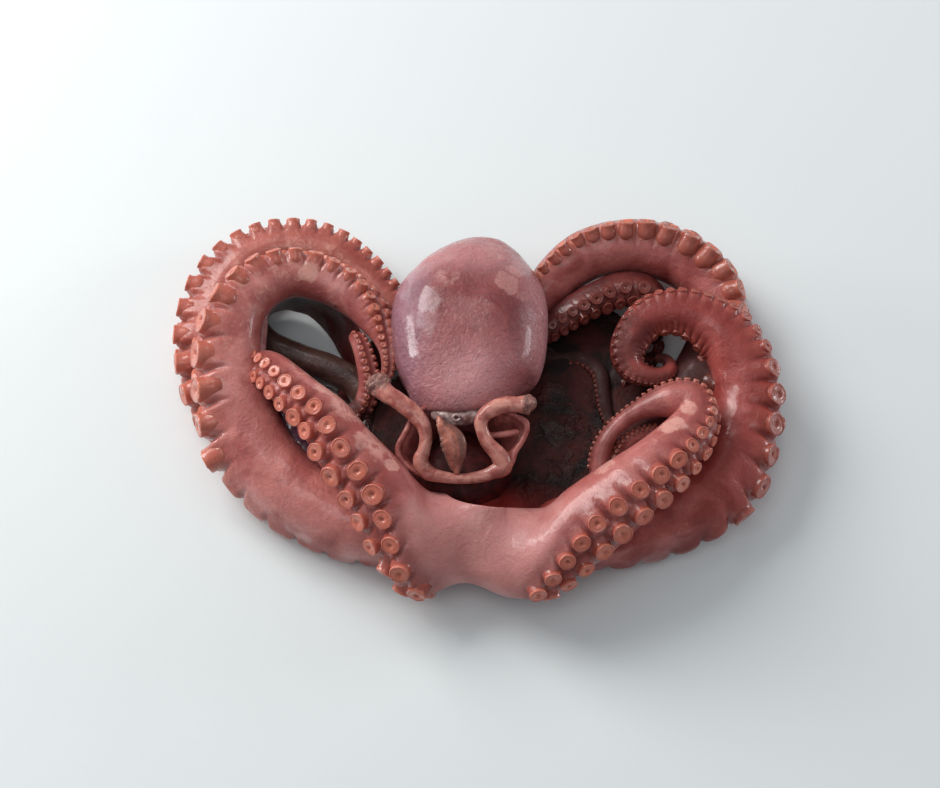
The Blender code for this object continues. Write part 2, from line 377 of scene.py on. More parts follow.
armLook = {
    "dark": (158, 84, 80), "light": (200, 127, 120), "mid": (181, 103, 98),
    "pinkTint": (220, 168, 152), "deep": (112, 38, 32), "bruise": (128, 90, 100),
    "glow": (196, 108, 90), "blotch": 22, "poreSize": 1.5, "poreShade": 0.3, "speckle": 0.22,
    "rough": 0.42, "wrinkle": 5.0, "depth": 0.8, "scratch": 0.12, "tearAndHighlight": 0.55, "film": 0.65,
    "gloss": 0.12,
}


# Each row of a route is x, y, z, girth, lift, spread, pitch: lift turns the sucker side up from
# the outward level, spread is how far each of the two rows of suckers stands from its middle,
# both in degrees, and pitch is the suckers' spacing as a share of the girth
leftBase = [
    (-20, -67, 16, 17, -84, 30, 0.9), (-49, -67.5, 17, 17.6, -82, 30, 0.9),
    (-66, -64, 17.5, 18, -80, 31, 0.88), (-80, -57, 18.5, 18.2, -76, 32, 0.88),
    (-93, -49, 19.5, 18.2, -68, 32, 0.88), (-104, -37.5, 21, 18, -54, 33, 0.9),
    (-112.5, -24.5, 24, 17.4, -36, 34, 0.94), (-118.5, -8, 28, 16, -16, 34, 1.04),
    (-123, 16, 33, 14.3, -4, 34, 1.19), (-121.5, 36.5, 36, 12.9, 0, 34, 1.1),
    (-111.5, 52.3, 37, 11.8, 2, 34, 0.96), (-95.5, 60.4, 36, 10.6, 6, 32, 0.94),
    (-77.5, 57, 34, 9.8, 12, 30, 0.96), (-63, 48, 32, 8.8, 22, 28, 0.92),
    (-54, 37, 32.5, 7.4, 38, 30, 0.9), (-49, 28, 33.5, 5.6, 58, 32, 0.8),
    (-46, 19, 32.5, 4.2, 72, 32, 0.78), (-46.5, 10, 29, 3.2, 70, 32, 0.8),
    (-52, 4, 24, 2.6, 60, 32, 0.82),
]
frontLeftTip = [
    (-64, 31, 29, 3, -55, 36, 0.82), (-61, 25, 32, 3.9, -55, 36, 0.82),
    (-58, 16, 31, 4.5, -56, 36, 0.82), (-56, 4, 27, 4.8, -56, 34, 0.82),
    (-60, -6, 22, 4.8, -45, 30, 0.8), (-70, -8, 18, 5.2, -10, 26, 0.8), (-86, 0, 17, 6, 20, 26, 0.7),
    (-101, 11, 20, 6.8, 40, 24, 0.66), (-107.5, 12.5, 30, 8.2, 42, 24, 0.66),
    (-101, 3.5, 40, 10, 44, 22, 0.76), (-88, -11.5, 46, 11.2, 46, 21, 0.9),
    (-75, -24.5, 47, 13, 46, 20, 0.92), (-64, -40.5, 45.5, 14.8, 42, 20, 0.9),
    (-51, -56, 41, 16.8, 40, 20, 0.8), (-37, -73, 34.5, 18.5, 22, 20, 0.62),
]
frontRightTip = [
    (38, -82, 32, 19, 22, 18, 0.54), (55, -71, 38, 18.5, 40, 17, 0.68),
    (71, -59.5, 44, 16.5, 37, 18, 0.78), (88, -45.5, 48, 14, 29, 20, 0.78),
    (100, -32, 49, 11.6, 20, 24, 0.7), (105, -22, 48, 9.8, 12, 28, 0.6),
    (102.5, -14.2, 46.5, 9.6, 6, 34, 0.44), (93, -13, 44.8, 9, -2, 40, 0.42),
    (84, -14.6, 43, 5.8, -8, 42, 0.58), (76.8, -17.4, 41.5, 4, -12, 44, 0.78),
    (70, -21.6, 40, 3.4, -16, 46, 0.88), (64, -27.4, 37.5, 3.7, -16, 46, 0.8),
    (59.8, -35, 34, 4.7, -14, 42, 0.62), (58.8, -43.5, 30, 5.2, 10, 36, 0.56),
    (61.5, -46, 27, 4.8, -60, 28, 0.6), (65.8, -40.5, 29, 4.2, -128, 20, 0.8),
    (68.6, -34.8, 30.3, 3.9, -132, 18, 0.84), (72.2, -29.8, 31.4, 3.7, -132, 18, 0.86),
    (77, -26.4, 32.3, 3.5, -132, 18, 0.88), (83, -24.6, 33.2, 3.1, -132, 18, 0.9),
    (89, -24, 33.8, 2.5, -132, 18, 0.9),
]
# The front pair are one band with a web between them: deepFront, deepBack and thin are its half
# sizes across, towards the suckers, away from them and through, as shares of the girth, and
# sharp is how thin its upper rim gets
frontBand = [(*row, 1, 1, 1, 0) for row in frontLeftTip[:-1]] + [
    (*frontLeftTip[-1], 1.0, 1.46, 0.94, 0.25),
    (-22, -82, 30, 19.5, -20, 24, 0.66, 1.36, 1.18, 0.82, 0.5),
    (-4, -86, 26, 18.5, -42, 26, 0.66, 0.74, 1.38, 0.62, 0.8),
    (16, -87.5, 26.5, 19.5, -24, 22, 0.60, 1.12, 1.22, 0.78, 0.6),
    (*frontRightTip[0], 1.0, 1.16, 0.94, 0.25),
] + [(*row, 1, 1, 1, 0) for row in frontRightTip[1:]]
rightBase = [
    (24, -71, 16, 17, -85, 30, 0.85), (60, -69.5, 17, 18.2, -80, 30, 0.85),
    (83.5, -64, 17.5, 18.8, -72, 31, 0.85), (99.5, -57.8, 18, 18.6, -58, 32, 0.86),
    (111, -50, 18.3, 18.4, -40, 33, 0.86), (120.5, -39, 19, 18.2, -18, 34, 0.86),
    (126.5, -27, 19.5, 17.8, -2, 34, 0.86), (131, -13, 20.5, 17.5, 6, 36, 0.86),
    (133, -1, 22, 17.2, 2, 42, 0.84), (132.5, 9, 24.5, 16.8, -16, 62, 0.76),
    (130, 18, 27, 16, -52, 92, 0.62), (123.5, 29.5, 30, 14.8, -76, 112, 0.54),
    (112, 37.5, 33, 13, -86, 120, 0.52), (98, 41, 35, 11.4, -88, 122, 0.52),
    (84, 37.5, 34, 10.2, -88, 122, 0.52), (75, 26.5, 31.5, 9, -88, 122, 0.54),
    (73.5, 17, 29.5, 7.8, -88, 118, 0.56), (78, 10.5, 28, 6.2, -84, 112, 0.6),
    (85.5, 8.5, 27, 4.8, -78, 102, 0.64), (92.5, 10.5, 26, 3.7, -70, 90, 0.66),
    (96, 15.5, 24.5, 3, -70, 80, 0.7), (93.5, 20.5, 23, 2.5, -70, 70, 0.72),
    (88, 21.5, 21.5, 2, -70, 60, 0.74),
]
outerLeft = [
    (-30, -53, 9, 8, -20, 25, 1), (-75, -41, 11, 11, -10, 25, 1), (-108, -19, 11, 13, -4, 26, 1.25),
    (-130, 6, 11, 12.3, -2, 26, 1.34), (-138, 36, 12, 11.5, -2, 26, 1.34),
    (-135.5, 60, 12, 11.2, -2, 26, 1.16), (-126.5, 76.5, 13, 11, 0, 26, 1),
    (-113, 87, 13, 10.5, 2, 26, 0.92), (-97, 90, 13, 10.3, 4, 26, 0.9),
    (-79, 86.5, 13, 10.2, 4, 26, 0.82), (-63.5, 75, 13, 9.8, 4, 26, 0.8),
    (-52, 62, 12.5, 9, 4, 26, 0.8), (-42, 48, 11.5, 7.5, 4, 26, 0.8),
]
outerRight = [
    (15, -48, 8, 7, -20, 25, 0.9), (50, -36, 8, 7.5, -10, 25, 0.9), (82, -16, 12, 12, 0, 25, 0.8),
    (106, 8, 13, 14, 10, 32, 0.75), (120, 33, 15, 14.2, 8, 46, 0.72),
    (123.5, 51, 18, 14.6, 4, 54, 0.74), (120.5, 62.5, 20, 14.6, 2, 58, 0.78),
    (110.5, 73.5, 22, 14.6, 2, 60, 0.82), (99, 80, 23.5, 14.6, 2, 60, 0.82),
    (83, 84, 25, 14.5, 2, 60, 0.72), (66, 83, 25, 14.2, 2, 60, 0.62), (52, 78.5, 23, 13.6, 2, 58, 0.58),
    (40, 69, 20, 12.4, 2, 54, 0.56), (31, 57.5, 17, 10.6, 4, 46, 0.52), (26, 46, 14.5, 9, 10, 34, 0.5),
    (27, 34, 9, 7, 20, 28, 0.6), (38, 27, 7, 5.8, 30, 28, 0.66), (52, 26, 9, 5, 34, 30, 0.7),
    (61, 17, 13, 4.2, 36, 32, 0.72), (62.5, 4, 14.5, 3.7, 36, 32, 0.74),
    (64.5, -8, 14.5, 3.2, 36, 32, 0.76), (70, -17, 13.5, 2.7, 36, 32, 0.78),
    (78, -19, 12, 2.2, 36, 32, 0.78),
]
backLeft = [
    (-25, -42, 7, 6, 0, 25, 0.9), (-45, -12, 9, 7.6, 0, 25, 0.9), (-61, 10, 10, 7.8, -60, 25, 0.9),
    (-76, 20.6, 10, 7.8, -60, 25, 0.9), (-92, 27, 10, 7.6, -60, 25, 0.9),
    (-110, 36, 10, 7.8, 0, 25, 0.9), (-119, 50, 10.5, 8.4, 0, 25, 0.9), (-116, 66, 11, 8, 0, 25, 0.9),
    (-104, 76, 11, 7.5, 0, 25, 0.8), (-88, 76, 12, 7, 0, 25, 0.8), (-72, 67, 14, 6, 0, 25, 0.8),
]
backRight = [
    (20, -37, 7, 6, 0, 25, 0.9), (50, -8, 6, 6, 5, 25, 0.9), (74, 22, 7, 8, 20, 25, 0.9),
    (86, 44, 12, 9.5, 60, 20, 0.82), (86, 58, 19, 9.6, 74, 19, 0.8), (73, 60, 22.5, 9.2, 80, 20, 0.8),
    (55, 52.5, 22.5, 8.4, 82, 20, 0.8), (39, 42, 20, 7, 78, 21, 0.8), (29, 34, 16, 6, 70, 20, 0.8),
]

# side is +1 where the suckers are on the left of the route and anchor a point where they face
# outward; disc, stalk, swell and pleat are their radius, their height, the skin's rise under
# them and its folds between them, as shares of the pitch; web is how much of the rise stays
# between two suckers, and ridge how far it spreads to the arm's back; lean tips them outward,
# moat and glow colour the skin round them and under them, the moat's deep red partly painted
# shade between them, and dusk darkens them, on the two back arms as painted shade; bare is the
# half length without suckers at the anchor; skinTearsAndHighlights, sheenPatches and
# shadePatches are patches of skin, each x, y, z, size and strength: paler flesh where the skin
# has come away, partly a painted wet highlight, a painted sheen, and painted shade
everyArm = {"pleat": 0.0, "ridge": 0.1, "moat": 0.3, "dusk": 0.0, "bare": 6, "skinTearsAndHighlights": [],
            "sheenPatches": [], "shadePatches": []}
arms = {
    "middleLeft": {
        **everyArm, "route": leftBase, "side": 1, "anchor": (-20, -68, 16), "seed": 3, "around": 84,
        "disc": 0.395, "stalk": 0.07, "swell": 0.40, "web": 0.24, "lean": 0.45, "moat": 0.35,
        "glow": 0.65,
        "skinTearsAndHighlights": [(-86, 58, 47, 7, 0.8), (-97, 58, 48, 12, 0.42), (-112, 44, 48, 16, 0.40),
                   (-116, 20, 46, 18, 0.36)],
    },
    "front": {
        **everyArm, "route": frontBand, "side": -1, "anchor": (2, -86, 26), "seed": 5, "around": 96,
        "disc": 0.375, "stalk": 0.12, "swell": 0.25, "web": 0.30, "pleat": 0.03, "lean": 0.15,
        "moat": 0.75, "glow": 0.45, "bare": 17,
        "skinTearsAndHighlights": [(101, -23, 56, 6, 0.66), (93, -34, 57, 8, 0.8), (83, -42, 56, 6, 0.6),
                   (74, -47, 54, 5, 0.8), (60, -52, 52, 7, 0.7), (-42, -51, 54, 5, 0.8),
                   (-48, -39, 57, 14, 0.6), (-63, -18, 56, 16, 0.64), (-73, -9, 54, 12, 0.62),
                   (-88, 2, 48, 10, 0.5)],
        "sheenPatches": [(0, -84, 40, 46, 0.8)],
        "shadePatches": [(-66, -8, 18, 12, 0.9), (-90, 4, 17, 14, 0.9), (62, -33, 36, 14, 0.34),
                   (79, -17, 43, 15, 0.28)],
    },
    "middleRight": {
        **everyArm, "route": rightBase, "side": -1, "anchor": (24, -69, 16), "seed": 7, "around": 96,
        "disc": 0.375, "stalk": 0.02, "swell": 0.25, "web": 0.38, "pleat": 0.05, "lean": 0.06,
        "moat": 0.6, "glow": 0.5, "dusk": 0.25, "ridge": 0.3,
        "shadePatches": [(91, 18, 22, 8, 0.8), (70, 22, 34, 18, 0.55), (84, 6, 28, 12, 0.4),
                   (96, -66, 10, 26, 0.3)],
    },
    "outerLeft": {
        **everyArm, "route": outerLeft, "side": 1, "anchor": (-30, -53, 14), "seed": 11, "around": 68,
        "disc": 0.345, "stalk": 0.06, "swell": 0.44, "web": 0.18, "lean": 0.55, "glow": 0.5,
        "skinTearsAndHighlights": [(-97, 88, 24, 12, 0.40), (-76, 80, 22, 10, 0.42), (-120, 76, 24, 12, 0.36)],
    },
    "outerRight": {
        **everyArm, "route": outerRight, "side": -1, "anchor": (15, -48, 15), "seed": 13, "around": 72,
        "disc": 0.41, "stalk": 0.04, "swell": 0.34, "web": 0.28, "lean": 0.6, "glow": 0.9, "dusk": 0.3,
        "shadePatches": [(34, 30, 8, 20, 1.0), (52, 24, 10, 16, 1.0), (64, 4, 15, 26, 1.0),
                   (76, -18, 13, 16, 1.0), (104, 4, 14, 30, 0.95), (80, -18, 12, 30, 1.0),
                   (112, 26, 15, 14, 0.7)],
    },
    "backLeft": {
        **everyArm, "route": backLeft, "side": 1, "anchor": (-25, -42, 14), "seed": 17, "around": 48,
        "disc": 0.34, "stalk": 0.12, "swell": 0.14, "web": 0.4, "lean": 0.2, "glow": 0.0, "dusk": 0.8,
    },
    "backRight": {
        **everyArm, "route": backRight, "side": -1, "anchor": (20, -37, 14), "seed": 19, "around": 56,
        "disc": 0.44, "stalk": 0.20, "swell": 0.20, "web": 0.4, "lean": 0.1, "moat": 0.6, "glow": 0.2,
        "dusk": 0.8,
        "shadePatches": [(30, -30, 7, 30, 1.0), (60, 5, 7, 34, 1.0), (80, 36, 9, 16, 0.9)],
    },
}
pathStep = 1.0
ringStep = 0.62
smoothing = 11  # how many steps an arm's girth and turning are blended over, each way
columns = {"centre": slice(0, 3), "girth": 3, "spread": 4, "pitch": 5, "deepFront": 6, "deepBack": 7,
           "thin": 8, "sharp": 9, "along": slice(10, 13), "facing": slice(13, 16),
           "across": slice(16, 19), "phase": 19, "calm": 20}


def layArm(arm):
    # rows of what the arm is at every step: its middle line, its girth, which way it faces, the
    # count of suckers so far, and calm, which is 1 where suckers face up or out and falls to 0.75
    # where they face the ground
    reach, rows = curveThrough(arm["route"], pathStep)
    if rows.shape[1] == 7:
        rows = np.hstack([rows, np.ones((len(rows), 3)), np.zeros((len(rows), 1))])
    blur = np.hanning(2 * smoothing + 3)[1:-1]
    blur = blur / blur.sum()
    padded = np.pad(rows[:, 3:], ((smoothing, smoothing), (0, 0)), "edge")
    rows[:, 3:] = np.apply_along_axis(np.convolve, 0, padded, blur, "valid")
    centre = rows[:, :3]
    along = unit(np.gradient(centre, axis=0))
    facing = carried(along, np.cross((0, 0, 1), along[0]))
    anchor = farFrom(centre, arm["anchor"]).argmin()
    wanted = arm["side"] * np.cross((0, 0, 1), along[anchor])
    other = np.cross(along, facing)
    turn = math.atan2(wanted @ other[anchor], wanted @ facing[anchor])
    facing, other = (facing * math.cos(turn) + other * math.sin(turn),
                     other * math.cos(turn) - facing * math.sin(turn))
    upward = arm["side"] * other
    lift = np.radians(rows[:, 4:5])
    facing, across = (facing * np.cos(lift) + upward * np.sin(lift),
                      upward * np.cos(lift) - facing * np.sin(lift))
    pitch = rows[:, 6] * rows[:, 3]
    spread = np.radians(rows[:, 5:6])
    upper = centre + rows[:, 3:4] * (facing * np.cos(spread) + across * np.sin(spread))
    hops = np.linalg.norm(np.diff(upper, axis=0), axis=1)
    phase = np.concatenate([[0], np.cumsum(hops / (0.5 * (pitch[1:] + pitch[:-1])))])
    high = [(facing * np.cos(spread) + side * across * np.sin(spread))[:, 2:] for side in (1, -1)]
    calm = 0.75 + 0.25 * eased(np.maximum(*high), -0.64, 0.1)
    arm["table"] = np.hstack([centre, rows[:, 3:4], spread, pitch[:, None], rows[:, 7:11],
                              along, facing, across, phase[:, None], calm])
    arm["length"], arm["step"], arm["middle"] = reach[-1], reach[1], reach[anchor]


def sampled(arm, reach):
    # the table's rows at these lengths along the arm, blended between neighbours
    table = arm["table"]
    place = np.clip(reach / arm["step"], 0, len(table) - 1.001)
    low = np.floor(place).astype(int)
    share = (place - low)[..., None]
    rows = table[low] * (1 - share) + table[low + 1] * share
    return {name: rows[..., column] for name, column in columns.items()}


# Lengths are in sucker radii, and lump heights are shares of the girth
skinForm = {
    "flat": 0.06, "moundLength": 1.12, "moundWidth": 1.2, "foldReach": 3.2,
    "lumps": [(24, 0.026, 0), (8, 0.010, 9)],
}


def armSkin(arm, reach, theta):
    # girth * (cos * deep, sin * thin) round the middle line, rounded off at both ends, then out
    # along the section's normal: a ridge under each row of suckers, higher at each sucker, folds
    # between them that fade inwards, and soft lumps; returns the points, the normals and how
    # much of a sucker's mound each point is on
    row = sampled(arm, reach)
    ends = 1.0
    for edge in (reach, arm["length"] - reach):
        ends = ends * np.sqrt(np.clip(1 - np.clip(1 - edge / row["girth"], 0, 1)**2, 0, 1))
    girth = row["girth"] * ends
    narrow = 1 - row["sharp"] * ((1 - np.cos(theta)) / 2)**1.6
    level = 1 - skinForm["flat"] * np.exp(-(theta / 0.5)**2)
    deep = np.where(np.cos(theta) > 0, row["deepFront"], row["deepBack"]) * level
    thin = row["thin"] * narrow
    cos, sin = np.cos(theta)[..., None], np.sin(theta)[..., None]
    outward = row["facing"] * cos * deep[..., None] + row["across"] * sin * thin[..., None]
    points = row["centre"] + girth[..., None] * outward
    normal = unit(row["facing"] * cos * thin[..., None] + row["across"] * sin * deep[..., None])
    rise, mound, fold = (np.zeros(np.broadcast(reach, theta).shape) for _ in range(3))
    size = row["pitch"] * arm["disc"]
    for side, offset in ((1, 0.0), (-1, 0.5)):
        beat = row["phase"] + offset
        onward = (beat - np.round(beat)) * row["pitch"]
        apart = theta - side * row["spread"]
        beside = row["girth"] * wrapped(apart)
        away = eased(side * apart, -0.2, 0.2)
        knob = np.exp(-(onward / (skinForm["moundLength"] * size))**8)
        width = (skinForm["moundWidth"] + arm["ridge"] * away) * size
        near = np.exp(-np.abs(beside / width)**(4 - 1.6 * away))
        rise = np.maximum(rise, near * (arm["web"] + (1 - arm["web"]) * knob))
        mound = np.maximum(mound, near * knob)
        fade = np.exp(-(beside / (skinForm["foldReach"] * size))**2) * eased(side * apart, -0.5, 0.1)
        fold = fold + fade * 0.5 * np.cos(2 * math.pi * beat)
    share = suckerShare(arm, reach)
    lift = (rise * arm["swell"] * row["calm"] + fold * arm["pleat"]) * row["pitch"] * ends * share
    lumps = sum(roughNoise(points, cell, arm["seed"] + more) * high
                for cell, high, more in skinForm["lumps"])
    push = unit(normal * (1 - 0.7 * arm["lean"]) + row["facing"] * 0.7 * arm["lean"])
    points = points + push * lift[..., None] + normal * (lumps * girth)[..., None]
    return points, normal, mound * share


def suckerShare(arm, reach):
    # 1 where the arm has suckers, 0 at its root or, on the front band, at the web
    return eased(np.abs(reach - arm["middle"]), arm["bare"] - 6, arm["bare"] + 6)


def addArm(name, arm, material):
    # rings of skin, closer together where the ends round off
    layArm(arm)
    girths = arm["table"][[0, -1], columns["girth"]]
    turn = np.linspace(0, math.pi / 2, 7)[1:-1]
    body = np.linspace(girths[0], arm["length"] - girths[1], int(arm["length"] / ringStep))
    reach = np.concatenate([girths[0] * (1 - np.cos(turn)), body,
                            arm["length"] - girths[1] * (1 - np.sin(turn))])
    theta = np.linspace(-math.pi, math.pi, arm["around"], endpoint=False)
    points, _, mound = armSkin(arm, reach[:, None], theta[None, :])
    row = sampled(arm, reach[:, None])
    half = row["spread"] + 0.5
    oral = eased(-np.abs(theta)[None, :], -half - 0.35, -half + 0.25)
    oral = oral * suckerShare(arm, reach[:, None])
    # dark is painted shade within the shade patches, deep partly painted shade between the suckers,
    # pale partly a painted wet highlight, and the sheen patches a painted sheen
    fields = {
        "dark": patchMask(points, arm["shadePatches"], arm["seed"] + 6),
        "glaze": np.zeros(mound.shape),
        "deep": np.clip(oral * arm["moat"] * (1 - mound), 0, 1),
        "glow": mound * arm["glow"],
        "pale": patchMask(points, arm["skinTearsAndHighlights"], arm["seed"]),
        "bruise": patchMask(points, arm["sheenPatches"], arm["seed"] + 4),
    }
    points[..., 2] = np.maximum(points[..., 2], lowest)
    addTube(name + "Arm", points, material, fields)


# A sucker's outline from its foot to its middle: (distance from its axis, height), where 1 is the
# disc's radius and the height is from its rim; the foot is sunk in the skin. A sucker whose disc
# is over fineFrom millimetres in radius gets the fine outline. Calm below calmest means that it
# faces the ground, and a gap is the least distance to the one before, in radii
suckers = {
    "fineFrom": 1.9, "calmest": 0.945, "gap": 1.75, "tilt": 0.05, "around": {"fine": 20, "plain": 9},
}
suckerOutline = {
    "fine": [(0.8, -2.4), (1.26, -1.5), (1.14, -0.95), (1.04, -0.60), (0.985, -0.34), (0.98, -0.14),
             (1.0, -0.02), (0.985, 0.06), (0.93, 0.115), (0.87, 0.10), (0.82, 0.07), (0.62, 0.11),
             (0.40, 0.08), (0.22, -0.02), (0.13, -0.14)],
    "plain": [(0.9, -2.0), (1.16, -1.1), (0.99, -0.4), (1.0, 0.0), (0.88, 0.13), (0.60, 0.09),
              (0.22, -0.04)],
}


def placeSuckers(arm, random):
    # two staggered rows on the skin: where each sucker stands, its axis, its size and its height
    table = arm["table"]
    found = []
    for side, offset in ((1, 0.0), (-1, 0.5)):
        beats = np.arange(1, int(table[-1, columns["phase"]]) + 1) - offset
        reach = np.interp(beats, table[:, columns["phase"]], np.arange(len(table)) * arm["step"])
        row = sampled(arm, reach)
        keep = (reach > 4) & (reach < arm["length"] - 0.9 * row["girth"])
        keep = keep & (suckerShare(arm, reach) > 0.6)
        found.append((reach[keep], side * row["spread"][keep]))
    reach, theta = np.concatenate(found, axis=1)
    foot, normal, _ = armSkin(arm, reach, theta)
    row = sampled(arm, reach)
    lean = arm["lean"]
    count = len(reach)
    tilt = random.normal(0, suckers["tilt"], (count, 3))
    axis = unit(normal * (1 - lean) + row["facing"] * lean + tilt)
    size = row["pitch"] * arm["disc"] * random.uniform(0.93, 1.07, count)
    tall = row["pitch"] * arm["stalk"] * row["calm"] * random.uniform(0.85, 1.15, count)
    kept = ((foot + axis * tall[:, None])[:, 2] > size * 0.75) & (row["calm"] > suckers["calmest"])
    for place in range(1, count):
        # leaves out a sucker that would overlap the one before it in its row
        before = np.nonzero(kept[:place])[0][-1:]
        kept[place] &= not (farFrom(foot[before], foot[place]) < suckers["gap"] * size[place]).any()
    return [values[kept] for values in (foot, axis, row["along"], size, tall)]


def addSuckers(name, arm, material):
    # at each place, the outline turned round an axis that stands out of the skin
    random = np.random.default_rng(arm["seed"])
    foot, axis, along, size, tall = placeSuckers(arm, random)
    first = unit(np.cross(axis, along))
    second = np.cross(axis, first)
    count = len(size)
    oval = random.uniform(0.93, 1.07, count)
    dimple = random.uniform(0.5, 1.5, count)
    shade = random.uniform(0, 1, count)
    fine = size > suckers["fineFrom"]
    for kind, suffix, chosen in (("fine", "Suckers", fine), ("plain", "TipSuckers", ~fine)):
        if not chosen.any():
            continue
        wide, high = np.array(suckerOutline[kind]).T
        around = suckers["around"][kind]
        angle = turns(around)
        pick = np.nonzero(chosen)[0]
        scale = size[pick, None, None]
        dipped = np.where(wide < 0.5, high * dimple[pick, None], high)
        level = (dipped * size[pick, None] + tall[pick, None])[:, :, None, None]
        spokeA = (wide[None, :, None] * np.cos(angle) * scale * oval[pick, None, None])[..., None]
        spokeB = (wide[None, :, None] * np.sin(angle) * scale / oval[pick, None, None])[..., None]
        points = (foot[pick, None, None] + axis[pick, None, None] * level
                  + first[pick, None, None] * spokeA + second[pick, None, None] * spokeB)
        rough = roughNoise(points, 4.5, arm["seed"] + 2)
        points = points + rough[..., None] * 0.10 * scale[..., None]
        rings = len(wide)
        each = rings * around + 2
        poles = points[:, [0, -1]].mean(axis=2)
        poles[:, 1] -= axis[pick] * (0.08 * size[pick] * dimple[pick])[:, None]
        blocks = np.concatenate([points.reshape(len(pick), -1, 3), poles], axis=1)
        blocks[..., 2] = np.maximum(blocks[..., 2], lowest)
        quads = tubeFaces(rings, around)
        fans = np.concatenate([fanFaces(0, around, each - 2, False),
                               fanFaces((rings - 1) * around, around, each - 1, True)])
        jump = (np.arange(len(pick)) * each)[:, None, None]
        ringValue = np.where(high < -0.1, 1.0 + np.clip(-high, 0, 1.4) * 0.7, wide)
        ringField = np.concatenate([np.repeat(ringValue, around), [2.0, 0.0]])
        # dusk darkens a sucker: by the arm's own dusk, which on the two back arms is painted shade,
        # more where it is small, and as painted shade within the shade patches
        inShade = patchMask(foot[pick], arm["shadePatches"], arm["seed"] + 6)
        dusk = np.clip(arm["dusk"] + 0.35 * (1 - eased(size[pick], 0.9, 3.2)) + 0.8 * inShade, 0, 1)
        fields = {"ring": np.tile(ringField, len(pick)), "shade": np.repeat(shade[pick], each),
                  "dusk": np.repeat(dusk, each)}
        addPiece(name + suffix, blocks.reshape(-1, 3), quads + jump, fans + jump, material, fields)


def suckerMaterial(name, rim, face, stem):
    # a pale disc with a small darker dimple, painted shade in its hollow, and a thin dark ring at its
    # rim, on a stalk of the arm's own colour; dusk darkens it, partly as painted shade
    make = Recipe(name)
    rim, face, stem = tint(*rim), tint(*face), tint(*stem)
    stops = [(0.00, tint(130, 58, 48)), (0.07, tint(172, 90, 75)), (0.15, face), (0.39, face),
             (0.43, tint(160, 80, 68)), (0.465, rim), (0.53, rim), (0.64, stem), (0.9, stem)]
    colour = make.add("ShaderNodeValToRGB", {"stops": stops}, {0: make.field("ring") * 0.5})
    colour = make.blend(make.field("shade") * 0.35, colour, tint(182, 98, 84))
    colour = make.blend(make.field("dusk") * 0.85, colour, tint(74, 27, 25))
    mottle = make.noise(1.6, 3.0, 0.4).above(0.40, 0.70)
    colour = make.blend(mottle * 0.22, colour, tint(150, 72, 60))
    height = make.noise(1.2, 3.0, 0.3) * 0.5 + make.noise(3.0, 2.0) * 0.5
    wet = make.noise(8.0, 2.0).above(0.42, 0.58)
    return make.finish(colour, 0.42 - wet * 0.18, height, 0.35, 0.25 + wet * 0.6, flesh)


redSkin = skinMaterial("redSkin", armLook)
pinkSkin = skinMaterial("pinkSkin", {
    **armLook, "light": (192, 116, 110), "dark": (158, 80, 76), "mid": (176, 98, 93),
    "speckle": 0.2, "poreShade": 0.12, "glow": (176, 88, 74), "bruise": (206, 146, 142),
    "pinkTint": (224, 168, 156), "tearAndHighlight": 0.66, "film": 0.45})
mauveSkin = skinMaterial("mauveSkin", {
    **armLook, "dark": (140, 55, 50), "light": (178, 86, 80), "mid": (158, 69, 63),
    "scratch": 0.22, "glow": (176, 88, 72)})
rimSkin = skinMaterial("rimSkin", {
    **armLook, "dark": (134, 58, 55), "light": (182, 103, 98), "mid": (158, 80, 75),
    "glow": (226, 128, 100)})
sideSkin = skinMaterial("sideSkin", {
    **armLook, "dark": (146, 70, 62), "light": (184, 106, 94), "mid": (166, 88, 78),
    "glow": (196, 104, 84), "film": 0.45})
# The two back arms lie low under the others: their near-black skin is painted shade over their own
# brown and red
brownSkin = skinMaterial("brownSkin", {
    **armLook, "dark": (52, 30, 26), "light": (92, 64, 56), "mid": (66, 42, 38)})
shadeSkin = skinMaterial("shadeSkin", {
    **armLook, "dark": (72, 28, 28), "light": (100, 44, 42), "mid": (86, 34, 34)})
armMaterials = {
    "middleLeft": redSkin, "front": pinkSkin, "middleRight": mauveSkin, "outerLeft": sideSkin,
    "outerRight": rimSkin, "backLeft": brownSkin, "backRight": shadeSkin,
}
redSucker = suckerMaterial("redSucker", (200, 118, 98), (200, 116, 96), (186, 102, 86))
pinkSucker = suckerMaterial("pinkSucker", (206, 122, 102), (204, 116, 95), (166, 82, 71))
mauveSucker = suckerMaterial("mauveSucker", (184, 98, 84), (178, 92, 78), (150, 68, 62))
suckerMaterials = {
    "middleLeft": redSucker, "front": pinkSucker, "middleRight": mauveSucker, "outerLeft": redSucker,
    "outerRight": redSucker, "backLeft": mauveSucker, "backRight": mauveSucker,
}
for armName, arm in arms.items():
    addArm(armName, arm, armMaterials[armName])
    addSuckers(armName, arm, suckerMaterials[armName])
    print("arm made:", armName, round(arm["length"]), "mm long")


